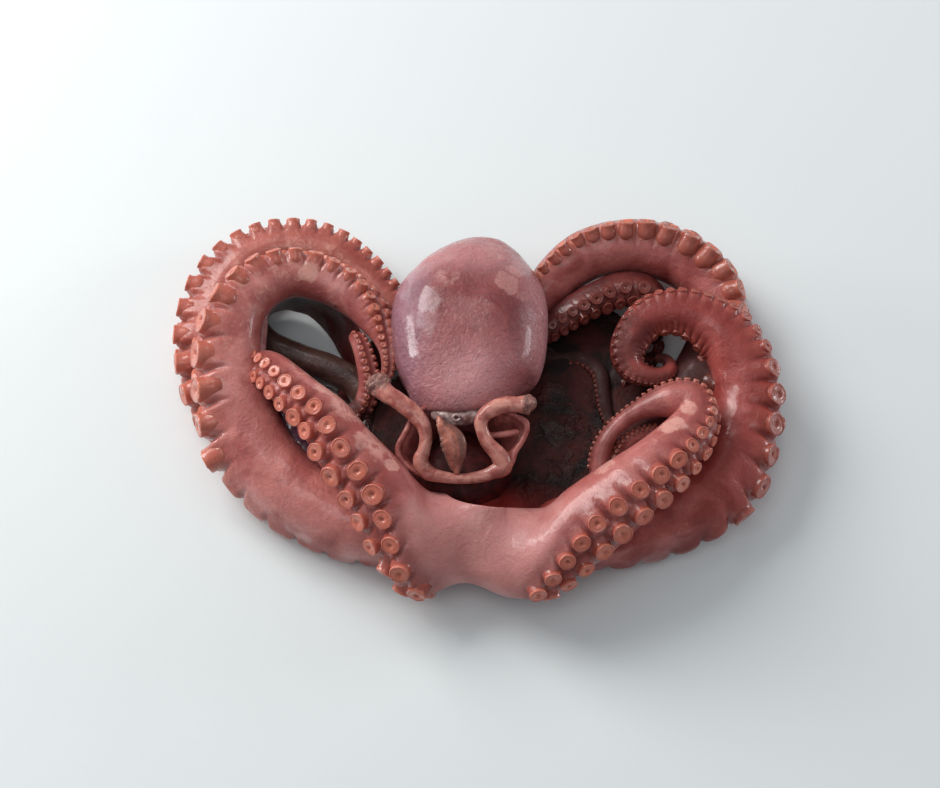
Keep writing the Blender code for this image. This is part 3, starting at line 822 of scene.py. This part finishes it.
# Each station is y, x, z of the middle, then half width, height above and height below; inside is
# how many rings from the start lie within the opening, and valley is the shallow groove along
# the top, whose x drifts with y
sac = {
    "stations": [
        (-8, -10, 38, 5, 4, 4), (-14, -10, 38, 14, 6, 8), (-18.4, -9.5, 38.2, 17.2, 8.4, 9.5),
        (-20.2, -9.2, 38.3, 18.6, 9.6, 10.4), (-20.6, -9.0, 38.2, 19.8, 11.0, 11.6),
        (-19, -8.8, 38, 22, 13.6, 14), (-13, -7.4, 37.2, 27.2, 18.6, 20),
        (-4, -5.6, 36.6, 31.6, 23.0, 27), (8, -5.2, 36.2, 36.0, 26.8, 32),
        (22, -5.4, 36, 38.8, 28.6, 34), (36, -5.6, 36, 39.4, 28.2, 34),
        (50, -5.2, 35.2, 37.0, 25.6, 31), (62, -3.8, 34, 31.0, 20.6, 27.5),
        (72, -2.0, 33, 23.0, 15.0, 22), (79.0, -0.2, 32.4, 14.4, 9.6, 15),
        (82.4, 0.8, 32.2, 7.4, 5.2, 8), (83.4, 1.2, 32.2, 1.2, 1.0, 1.6),
    ],
    "around": 144, "edgeSkew": 0.011, "square": 2.12, "step": 0.7, "inside": 18,
    "middle": (-5, 32, 36), "valley": {"x": -6, "drift": 0.12, "half": 11, "depth": 1.6},
    "skinTearsAndHighlights": [(13, 45, 58, 9, 0.9), (17, 53, 52, 7, 0.7), (-16, 47, 60, 8, 0.5), (20, 38, 54, 7, 0.55),
               (8, 68, 48, 12, 0.5), (-6, 28, 64, 6, 0.4), (26, 20, 50, 8, 0.4)],
}


def addSac(shape, material):
    # an oval section, squarer than an ellipse, carried along the sac's stations; the first
    # stations run inwards from the opening's lip, and the lip bends back to the sides
    station = np.array(shape["stations"], float)[:, [1, 0, 2, 3, 4, 5]]
    _, rows = curveThrough(station, shape["step"])
    turn = turns(shape["around"])
    power = 2 / shape["square"]
    cos = np.sign(np.cos(turn)) * np.abs(np.cos(turn))**power
    sin = np.sign(np.sin(turn)) * np.abs(np.sin(turn))**power
    tall = np.where(sin > 0, rows[:, 4:5], rows[:, 5:6])
    grid = np.stack([rows[:, 0:1] + rows[:, 3:4] * cos,
                     np.broadcast_to(rows[:, 1:2], (len(rows), len(turn))),
                     rows[:, 2:3] + tall * sin], axis=-1)
    fade = 1 - eased(grid[..., 1], -21, 6)
    grid[..., 1] += shape["edgeSkew"] * (grid[..., 0] + 13)**2 * fade
    outward = unit(grid - np.array(shape["middle"]))
    x, y, z = np.moveaxis(grid, -1, 0)
    groove = shape["valley"]
    valley = np.exp(-((x - groove["x"] - groove["drift"] * (y - 20)) / groove["half"])**2)
    valley = valley * eased(y, -16, 10) * (1 - eased(y, 40, 74)) * (z > 36)
    stretched = grid * np.array([1.0, 0.35, 1.0])
    lumps = roughNoise(grid, 30, 41) * 1.2 + roughNoise(stretched, 6, 43) * 0.35
    lumps = lumps - valley * groove["depth"]
    grid = grid + outward * (lumps * eased(y, -19, -10))[..., None]
    # where its colours lie: a lilac painted sheen on the left, painted light low in front and on the
    # right, a paler pink on the crown, and painted shade inside the opening
    left = eased(-x, 18, 40) * (1 - eased(y, 50, 74)) * eased(z, 20, 50)
    right = eased(x, 16, 34) * (1 - eased(y, 44, 60)) * eased(y, -10, 10)
    low = np.exp(-((x + 4) / 24)**2) * np.exp(-((y + 8) / 18)**2) * (z > 30)
    crown = eased(y, 40, 66) * eased(z, 30, 50)
    fields = {
        "pale": patchMask(grid, shape["skinTearsAndHighlights"], 45),
        "bruise": np.clip(left * 0.9 + right * 0.1, 0, 1),
        "dark": 0 * left,
        "glaze": np.clip(left + right, 0, 1) * (1 - eased(y, 46, 62)),
        "glow": np.clip(low + crown * 0.55 + right * 0.9, 0, 1),
        # painted shade inside the opening
        "deep": (np.arange(len(rows)) < shape["inside"])[:, None] * np.ones(len(turn)),
    }
    addTube("headSac", grid, material, fields)


sacLook = {
    **armLook, "dark": (118, 54, 56), "light": (152, 82, 83), "mid": (136, 67, 69),
    "pinkTint": (214, 160, 154), "deep": (84, 30, 34), "bruise": (152, 116, 132),
    "glow": (212, 150, 152), "blotch": 20, "poreSize": 1.0, "poreShade": 0.4, "speckle": 0.3,
    "wrinkle": 3.2, "depth": 1.1, "rough": 0.38, "scratch": 0.2, "tearAndHighlight": 0.38, "film": 0.55,
    "gloss": 0.14,
}
addSac(sac, skinMaterial("sacSkin", sacLook))
print("head sac made")


# reach is the rim's distance from the centre every 30 degrees, from the right towards the back;
# the membrane folds towards the front and dips towards the back, within half (radians) of at
bowl = {
    "centre": (20, -25),
    "reach": [66, 76, 99, 78, 60, 76, 74, 70, 58, 50, 54, 60],
    "floor": 16.0, "edge": 9.0, "foot": 1.5, "around": 200, "rings": 76,
    "fold": {"at": -0.62 * math.pi, "half": 0.7, "count": 7, "height": 2.6},
    "dip": {"at": 0.47 * math.pi, "half": 1.3, "depth": 11},
    "wet": [(46, -20, 18, 22, 1.0), (62, -36, 18, 12, 0.9), (30, -46, 18, 14, 0.8),
            (36, 2, 16, 10, 0.6)],
}


def bowlMaterial():
    # dark wet membrane with a fine glittering grain, dark red where it folds towards the rim
    make = Recipe("bowlMembrane")
    blotch = make.noise(16, 3.0, 0.6).above(0.35, 0.65)
    colour = make.blend(blotch, tint(24, 5, 4), tint(74, 26, 21))
    colour = make.blend(make.field("red"), colour, tint(150, 42, 38))
    grain = make.noise(1.4, 2.0, 0.5)
    patches = make.noise(10, 3.0, 0.6).above(0.42, 0.56) * make.field("wet")
    height = grain * (0.3 + patches * 2.2) + make.noise(6, 3.0, 1.0) * 0.6
    membrane = {**flesh, "Subsurface Weight": 0.0, "Coat Roughness": 0.25, "Specular IOR Level": 0.5}
    return make.finish(colour, 0.66 - patches * 0.48, height, 1.2, patches * 0.3, membrane)


def addBowl(shape, material):
    # a dish: the outline's reach round its centre, a top that rises to the edge and folds
    # towards the front, and a nearly flat underside, as one profile turned round
    angle = turns(shape["around"])
    knots = np.linspace(0, 360, len(shape["reach"]) + 1)
    reach = np.interp(np.degrees(angle), knots, shape["reach"] + shape["reach"][:1])
    reach = np.mean([np.roll(reach, k) for k in range(-9, 10)], axis=0)
    share = np.linspace(0.02, 1, shape["rings"])
    share = np.concatenate([share, [1.015, 1.02, 1.015], share[::-1]])[:, None]
    top = np.arange(len(share))[:, None] < shape["rings"]
    x = shape["centre"][0] + reach * share * np.cos(angle)
    y = shape["centre"][1] + reach * share * np.sin(angle)
    fold, dip = shape["fold"], shape["dip"]
    front = np.exp(-(wrapped(angle - fold["at"]) / fold["half"])**2)
    back = np.exp(-(wrapped(angle - dip["at"]) / dip["half"])**2)
    wave = np.abs(np.sin(angle * fold["count"] + 1.2 * np.sin(share * 4)))**0.6
    wave = wave * front * eased(share, 0.3, 0.6)
    high = shape["floor"] + shape["edge"] * share**3 * (1 - back)
    high = high + fold["height"] * wave - dip["depth"] * back * share**2
    points = np.stack(np.broadcast_arrays(x, y, high), axis=-1)
    high = high + roughNoise(points, 18, 51) * 1.3 + roughNoise(points, 5, 53) * 0.35
    low = shape["foot"] + 5 * share**6
    rim = np.clip((np.arange(len(share))[:, None] - shape["rings"] + 1) / 4, 0, 1)
    below = high * (1 - rim) + low * rim
    grid = np.stack(np.broadcast_arrays(x, y, np.where(top, high, below)), axis=-1)
    red = np.clip(front * eased(share, 0.3, 0.7) + 0 * x, 0, 1)
    wet = patchMask(grid, shape["wet"], 55)
    addTube("bowlMembrane", grid, material, {"red": red, "wet": wet})


addBowl(bowl, bowlMaterial())
print("bowl made")


def strandMaterial(name, pale, dark, grainy, rough=0.36, coat=0.6):
    # firm flesh in soft lengths, grainy grey-brown where the grain value is high, and darker
    # where the gloom value is, which is painted shade
    make = Recipe(name)
    pale, dark, grainy = tint(*pale), tint(*dark), tint(*grainy)
    lump = make.noise(6, 4.0, 0.5).above(0.35, 0.66)
    colour = make.blend(lump, dark, pale)
    grain = make.noise(1.0, 3.0, 0.3)
    crumbs = make.field("grain")
    colour = make.blend(crumbs * 0.85, colour, grainy)
    colour = make.blend(crumbs * grain.above(0.5, 0.62) * 0.7, colour, tint(186, 140, 126))
    rust = make.noise(2.0, 4.0).above(0.54, 0.70)
    colour = make.blend(rust * 0.35, colour, dark)
    # painted shade where the gloom value is high
    colour = make.blend(make.field("gloom") * 0.9, colour, tint(70, 18, 18))
    height = make.noise(4, 3.0, 0.6) * 0.5 + grain * (0.12 + crumbs * 0.9)
    wet = 1 - crumbs * 0.7
    return make.finish(colour, rough + crumbs * 0.1, height, 0.9, wet * coat, flesh)


def addStrand(name, route, material, flat=1.0, grainy=(), lumpy=0.06, around=28, seed=61, gloom=0.0):
    # an oval tube along the route's x, y, z and girth, rounded at its ends, and grainy within
    # each of the grainy balls (x, y, z, radius)
    reach, rows = curveThrough(route, 0.6)
    along = unit(np.gradient(rows[:, :3], axis=0))
    across = carried(along, np.cross((0, 0, 1), along[0]) + 1e-6)
    upward = np.cross(along, across)
    turn = turns(around)
    ends = np.ones(len(reach))
    for edge, girth in ((reach, rows[0, 3]), (reach[-1] - reach, rows[-1, 3])):
        ends = ends * np.sqrt(np.clip(1 - np.clip(1 - (edge + 0.05) / girth, 0, 1)**2, 0.002, 1))
    girth = (rows[:, 3] * ends)[:, None, None]
    spoke = across[:, None] * np.cos(turn)[:, None] + upward[:, None] * np.sin(turn)[:, None] * flat
    grid = rows[:, None, :3] + girth * spoke
    grain = np.zeros(grid.shape[:2])
    for *place, size in grainy:
        far = farFrom(grid, place) / size + roughNoise(grid, 4, seed + 5) * 0.25
        grain = np.maximum(grain, 1 - eased(far, 0.85, 1.1))
    bumps = roughNoise(grid, 5, seed) * lumpy + grain * roughNoise(grid, 1.7, seed + 2) * 0.34
    grid = grid + girth * spoke * bumps[..., None]
    addTube(name, grid, material, {"grain": grain, "gloom": np.full(grain.shape, gloom)})


def addBlob(name, centre, half, material, lumpy, seed, gloom=0.0, around=72, rings=48):
    # an ellipsoid from latitude and longitude, with noise lumps
    high = np.linspace(-math.pi / 2 + 0.04, math.pi / 2 - 0.04, rings)[:, None]
    turn = turns(around)
    ball = np.stack(np.broadcast_arrays(
        np.cos(high) * np.cos(turn), np.cos(high) * np.sin(turn), np.sin(high)), axis=-1)
    grid = np.array(centre) + ball * np.array(half)
    grid = grid + ball * (roughNoise(grid, 12, seed) * lumpy)[..., None]
    flat = np.zeros(grid.shape[:2])
    addTube(name, grid, material, {"grain": flat, "gloom": flat + gloom})


def addRibbon(name, edgeA, edgeB, thick, bulge, material, seed, rough, gloom=None):
    # a closed sheet between two curves: points blend from one edge to the other, bulge out in the
    # middle along the sheet's normal, and stand half the thickness off it on either side; unless
    # gloom is given, it darkens towards the second edge with painted shade
    rowsA = curveThrough(edgeA, 0.8)[1]
    rowsB = curveThrough(edgeB, 0.8)[1]
    place = np.linspace(0, 1, max(len(rowsA), len(rowsB)))
    start, end = (
        np.stack([np.interp(place, np.linspace(0, 1, len(rows)), column) for column in rows.T], axis=1)
        for rows in (rowsA, rowsB))
    across = 26
    share = (1 - np.cos(np.linspace(0, math.pi, across))) / 2
    share = np.concatenate([share, share[-2:0:-1]])
    under = np.arange(len(share)) >= across
    sheet = start[:, None] + (end - start)[:, None] * share[:, None]
    along = unit(np.gradient(sheet, axis=0))
    normal = unit(np.cross(along, (end - start)[:, None]))
    half = thick / 2 * np.sqrt(np.clip(4 * share * (1 - share), 0, 1)) * np.where(under, -1, 1)
    bend = bulge * np.sin(math.pi * share) + roughNoise(sheet, 9, seed) * rough
    grid = sheet + normal * (bend + half)[..., None]
    flat = np.zeros(grid.shape[:2])
    addTube(name, grid, material, {"grain": flat, "gloom": flat + (share if gloom is None else gloom)})


headFlesh = strandMaterial("headFlesh", (96, 27, 25), (60, 15, 14), (96, 50, 46), 0.6, 0.03)
addBlob("head", (-9, -37, 17), (25, 23, 15), headFlesh, 1.6, 71)

collar = {
    "rim": [
        (-36, -30, 46.5), (-39.5, -36, 43.5), (-39, -41, 41.5), (-35.5, -45.5, 39.5), (-29, -48.5, 38),
        (-21, -50.5, 37.5), (-11, -51.5, 37.4), (-1, -51, 37.6), (7, -48.5, 38.6), (14, -46, 41),
        (16.5, -40, 43), (20.5, -34, 44.6), (22.5, -28, 46.4), (20, -24, 48), (14, -21, 48.5),
        (2, -15, 45), (-12, -13, 44), (-25, -16, 45), (-32, -22, 47), (-36, -30, 46.5),
    ],
    "foot": (-10, -35, 22), "draw": 0.5, "wall": 1.3, "bead": 1.5,
}


def addCollar(shape, material):
    # the funnel's cup: a wall with a rounded bead at its top, drawn in towards its foot
    _, rows = curveThrough(shape["rim"], 1.0)
    rim = rows[:-1]
    foot = np.array(shape["foot"])
    inward = unit((foot - rim) * np.array([1, 1, 0]))
    base = rim + (foot - rim) * shape["draw"]
    base[:, 2] = foot[2]
    turn = np.linspace(-0.35 * math.pi, 1.35 * math.pi, 13)
    high = np.array([0, 0.2, 0.4, 0.6, 0.8, 0.92])
    outer = [base + (rim - base) * h - inward * shape["wall"] * (0.6 + 0.4 * h) for h in high]
    up = np.array([0, 0, 1])
    bead = [rim - inward * shape["bead"] * math.cos(t) + up * shape["bead"] * math.sin(t) for t in turn]
    inner = [base + (rim - base) * h + inward * shape["wall"] * (0.6 + 0.4 * h) for h in high[::-1]]
    grid = np.stack(outer + bead + inner, axis=1)
    grid = grid + roughNoise(grid, 6, 81)[..., None] * np.array([0.6, 0.6, 0.4])
    # painted shade, deepest at the outer wall's foot and down inside the cup
    drop = np.concatenate([1 - high, np.zeros(len(turn)), np.clip(1.15 - high[::-1], 0, 1)])
    gloom = np.broadcast_to(drop, grid.shape[:2])
    addTube("funnelCup", grid, material, {"grain": 0 * gloom, "gloom": gloom}, closedPath=True)


cupFlesh = strandMaterial("cupFlesh", (184, 112, 104), (146, 76, 72), (120, 90, 84), 0.42, 0.2)
muscleFlesh = strandMaterial("muscleFlesh", (204, 138, 124), (158, 84, 76), (118, 84, 80))
addCollar(collar, cupFlesh)
addStrand("funnelRing", [
    (-53.5, -4, 52, 6.2), (-50, -8, 53, 5.8), (-45.5, -13, 53.5, 4.7), (-39.5, -17.5, 54, 4.4),
    (-33, -22.5, 53, 4.2), (-28, -28, 51, 3.7), (-26.2, -34, 49, 3.3), (-27.3, -40, 46.5, 3.1),
    (-28.8, -45, 43.4, 4.0), (-25.5, -49, 40.6, 3.8), (-19, -51, 39.6, 3.0), (-11, -52, 39.4, 2.6),
    (-2, -51.4, 39.6, 2.8), (5, -49.6, 40.4, 3.4), (11, -46.4, 42, 4.8), (8.6, -41.6, 45, 4.2),
    (3.6, -36.6, 47.5, 3.4), (0.8, -31, 50, 3.2), (0.8, -26, 52.5, 3.5), (5.5, -21.8, 54, 3.9),
    (12.5, -19.4, 54.5, 4.0), (19, -19.2, 54, 4.2), (24.5, -19, 53.5, 4.8), (27, -20, 53, 4.4),
], muscleFlesh, 0.88, [(-51.5, -7, 52, 8.5), (25.5, -19.5, 53.5, 6.6)], lumpy=0.10, seed=63, around=32)
addStrand("earStrap", [(0, -31.5, 45, 1.7), (8, -31.5, 45.5, 1.6), (19, -30.5, 46.5, 1.7)],
          cupFlesh, 0.9, seed=67, around=16)
tongueFlesh = strandMaterial("tongueFlesh", (182, 112, 94), (132, 72, 62), (104, 76, 72), 0.42)
tongue = [
    (-20.2, -25.5, 53, 0.9), (-19.6, -27.5, 53, 2), (-18.2, -30.5, 52.6, 2.9), (-15.2, -33.5, 51.4, 5),
    (-13.2, -37, 50, 6.2), (-12.2, -41.5, 47.6, 5.6), (-11.8, -46, 44, 3.6), (-11.4, -50, 41, 1.2),
]


def addTongue(material):
    # a leaf: a half width that swells and narrows along its middle line, thin and ridged
    _, rows = curveThrough(tongue, 0.35)
    along = unit(np.gradient(rows[:, :3], axis=0))
    across = unit(np.cross(along, (0.1, -0.35, 0.93)))
    up = np.cross(across, along)
    turn = turns(56)
    wide = rows[:, 3][:, None]
    thick = 0.9 + 1.5 * wide / 6
    ridge = np.exp(-(np.cos(turn) / 0.5)**2) * (np.sin(turn) > 0)
    grid = (rows[:, None, :3] + across[:, None] * (wide * np.cos(turn))[..., None]
            + up[:, None] * (thick * (np.sin(turn) + 0.4 * ridge))[..., None])
    onRight = np.cos(turn) * np.sign(across[10, 0])
    fringe = eased(np.abs(np.cos(turn)), 0.78, 0.95) * np.ones_like(wide)
    leftSide = (onRight < 0) * fringe
    bumps = roughNoise(grid, 1.5, 91) * (0.15 + 0.7 * leftSide) + roughNoise(grid, 5, 93) * 0.5
    grid = grid + unit(grid - rows[:, None, :3]) * bumps[..., None]
    rightSide = (onRight > 0.35) * np.ones_like(wide)
    fields = {"grain": np.clip(leftSide + 0.5 * rightSide, 0, 1), "gloom": 0.25 * rightSide}
    addTube("funnelTongue", grid, material, fields)


addTongue(tongueFlesh)
tissue = strandMaterial("siphonTissue", (186, 160, 156), (126, 88, 84), (110, 90, 88), 0.3)
addStrand("siphonTissue", [
    (-24, -19, 44, 3.0), (-18, -20.5, 44.6, 4.2), (-12, -21.5, 44.6, 4.6), (-6, -21.5, 44.6, 4.6),
    (2, -19, 44, 3.4),
], tissue, 0.8, lumpy=0.4, seed=95, around=40)
hole = (-11.6, -23.6, 48.2)
angle = np.linspace(0, 2 * math.pi, 11)
ring = hole + np.stack([1.7 * np.cos(angle), 1.4 * np.sin(angle), 0.5 * np.sin(angle)], axis=1)
addStrand("siphonRing", [(*place, 0.8) for place in ring], tissue, around=12, seed=97)
# The siphon's hole is a small dark blob: painted shade
holeShade = strandMaterial("holeShade", (60, 28, 26), (40, 18, 16), (60, 40, 36), 0.5, 0.1)
addBlob("siphonHole", (-11.6, -23.6, 47.6), (1.5, 1.2, 0.9), holeShade, 0.0, 98, 0.6, 16, 10)
print("funnel made")


# The web that hangs from the left arm's inner edge, dark red with painted shade that deepens
# towards its foot, its greyish rim, and the wet purple skin between that arm and the front one,
# whose purple is partly a painted sheen
shadedCurtain = strandMaterial("shadedCurtain", (92, 36, 36), (62, 22, 22), (60, 40, 36), 0.4, 0.25)
rimFlesh = strandMaterial("rimFlesh", (158, 106, 104), (128, 74, 72), (120, 90, 84), 0.36, 0.3)
# its purple is partly a painted sheen on red skin
purpleSheenFlesh = strandMaterial("purpleSheenFlesh", (120, 84, 104), (84, 44, 56), (90, 60, 66), 0.22, 0.8)
innerEdge = [
    (-109.5, -3, 30), (-109.5, 12, 33), (-109, 30, 34), (-108.5, 40, 34.5), (-104.5, 47, 35),
    (-98, 51, 35.5), (-89.8, 52.6, 35.5), (-79.5, 50.5, 35), (-70.5, 45, 34), (-62.5, 36, 32),
    (-56.5, 24, 30), (-54, 10, 26), (-58, -4, 20),
]
hanging = [
    (-110, -4, 8), (-110, 12, 6), (-111, 32, 5), (-111, 46, 5), (-109, 53.5, 5), (-104, 57, 5),
    (-97, 57, 5), (-88.5, 54, 5), (-81, 47, 5), (-76, 40, 5), (-71.5, 31, 5), (-63, 18, 5), (-60, 2, 5),
]
addRibbon("loopCurtain", innerEdge, hanging, 1.6, 1.5, shadedCurtain, 103, 0.8)
addStrand("loopRim", [(x, y, z + 0.6, 2.4) for x, y, z in innerEdge[:9]], rimFlesh, 0.8,
          seed=105, around=20)
addRibbon("armWeb", [(-106, -8, 25), (-99, -22, 24), (-92, -32, 24), (-82, -42, 24)],
          [(-92, -10, 31), (-86, -22, 31), (-79, -32, 30), (-72, -42, 29)],
          2.4, -4.0, purpleSheenFlesh, 107, 1.2, 0.15)
# Painted shade: dark strands low in the gaps between the arms, where nothing of the bowl reaches
addStrand("slitShade", [
    (60, -42, 22, 7), (68, -33, 24, 8), (78, -25, 26, 8), (90, -22, 28, 8), (99, -24, 30, 6),
], headFlesh, 0.9, seed=111, gloom=1.0)
addStrand("loopShade", [
    (-72, 8, 5, 5), (-65, 11, 8, 7), (-57, 18, 10, 7), (-51, 30, 11, 7), (-46, 44, 10, 6),
], headFlesh, 0.9, seed=113, gloom=0.8)
addStrand("coilShade", [
    (101, 4, 12, 5), (93, 9, 12, 5.5), (84, 15, 12, 6), (77, 24, 12, 6),
], headFlesh, 0.9, seed=109, gloom=0.5)
print("webs made")


# Each light is its azimuth (0 in front, 90 on the right) and elevation in degrees, distance and
# size in metres, power in watts, and colour
studio = {
    "distance": 1109.7, "elevation": 65.0, "lens": 85.0, "aim": (-2.4, 0.7, 24.2),
    "floor": tint(226, 232, 233), "world": (0.90, 0.95, 1.0), "worldLight": 0.26,
    "lights": {
        "keyLight": (-131, 40, 1.7, (1.0, 1.0), 24.6, (1.0, 0.98, 0.96)),
        "leftBox": (-106, 13, 1.2, (0.4, 0.3), 4.4, (1.0, 0.99, 0.98)),
        "rightBox": (104, 14, 1.3, (0.4, 0.34), 4.6, (0.94, 0.97, 1.0)),
        "topLight": (-20, 75, 1.6, (0.8, 0.8), 2.8, (1.0, 1.0, 1.0)),
        "backLight": (178, 62, 1.6, (0.5, 0.5), 1.1, (1.0, 1.0, 1.0)),
    },
}


def addFloor(colour):
    # a plain square, with only a faint unevenness
    mesh = bpy.data.meshes.new("floor")
    side = 3.0
    ground = boxLow[2] - 0.4 * metres
    corners = [(-side, -side), (side, -side), (side, side), (-side, side)]
    mesh.from_pydata([(*corner, ground) for corner in corners], [], [(0, 1, 2, 3)])
    make = Recipe("paleFloor")
    cloud = make.noise(60, 3.0)
    shade = make.blend(cloud * 0.12, colour, tuple(0.9 * c for c in colour))
    make.finish(shade, cloud * 0.1 + 0.55, make.noise(3, 2.0), 0.05, cloud * 0, {})
    mesh.materials.append(make.material)
    floor = bpy.data.objects.new("floor", mesh)
    bpy.context.scene.collection.objects.link(floor)


def addLight(name, azimuth, elevation, distance, size, power, colour):
    # a soft box that looks at the object
    lamp = bpy.data.lights.new(name, "AREA")
    lamp.shape = "RECTANGLE"
    lamp.size, lamp.size_y = size
    lamp.energy = power
    lamp.color = colour
    light = bpy.data.objects.new(name, lamp)
    a, e = math.radians(azimuth), math.radians(elevation)
    back = np.array([math.sin(a) * math.cos(e), -math.cos(a) * math.cos(e), math.sin(e)])
    light.location = back * distance
    aimAt(light)
    bpy.context.scene.collection.objects.link(light)


def aimAt(thing, target=(0, 0, 0)):
    # turns a light or the camera, whose front is its minus z, towards the target
    offset = np.array(thing.location) - np.array(target)
    flat = math.hypot(offset[0], offset[1])
    thing.rotation_euler = (math.atan2(flat, offset[2]), 0, math.atan2(offset[0], -offset[1]))


addFloor(studio["floor"])
for lightName, light in studio["lights"].items():
    addLight(lightName, *light)
world = bpy.data.worlds.new("studio")
world.use_nodes = True
background = world.node_tree.nodes["Background"]
background.inputs["Color"].default_value = (*studio["world"], 1)
background.inputs["Strength"].default_value = studio["worldLight"]
bpy.context.scene.world = world
lens = bpy.data.cameras.new("camera")
lens.lens = studio["lens"]
lens.sensor_width = 36
camera = bpy.data.objects.new("camera", lens)
tilt = math.radians(studio["elevation"])
aim = np.array(studio["aim"]) * metres
camera.location = aim + studio["distance"] * metres * np.array([0, -math.cos(tilt), math.sin(tilt)])
aimAt(camera, aim)
bpy.context.scene.collection.objects.link(camera)
bpy.context.scene.camera = camera
bpy.context.scene.view_settings.view_transform = "Standard"
print("stage set")
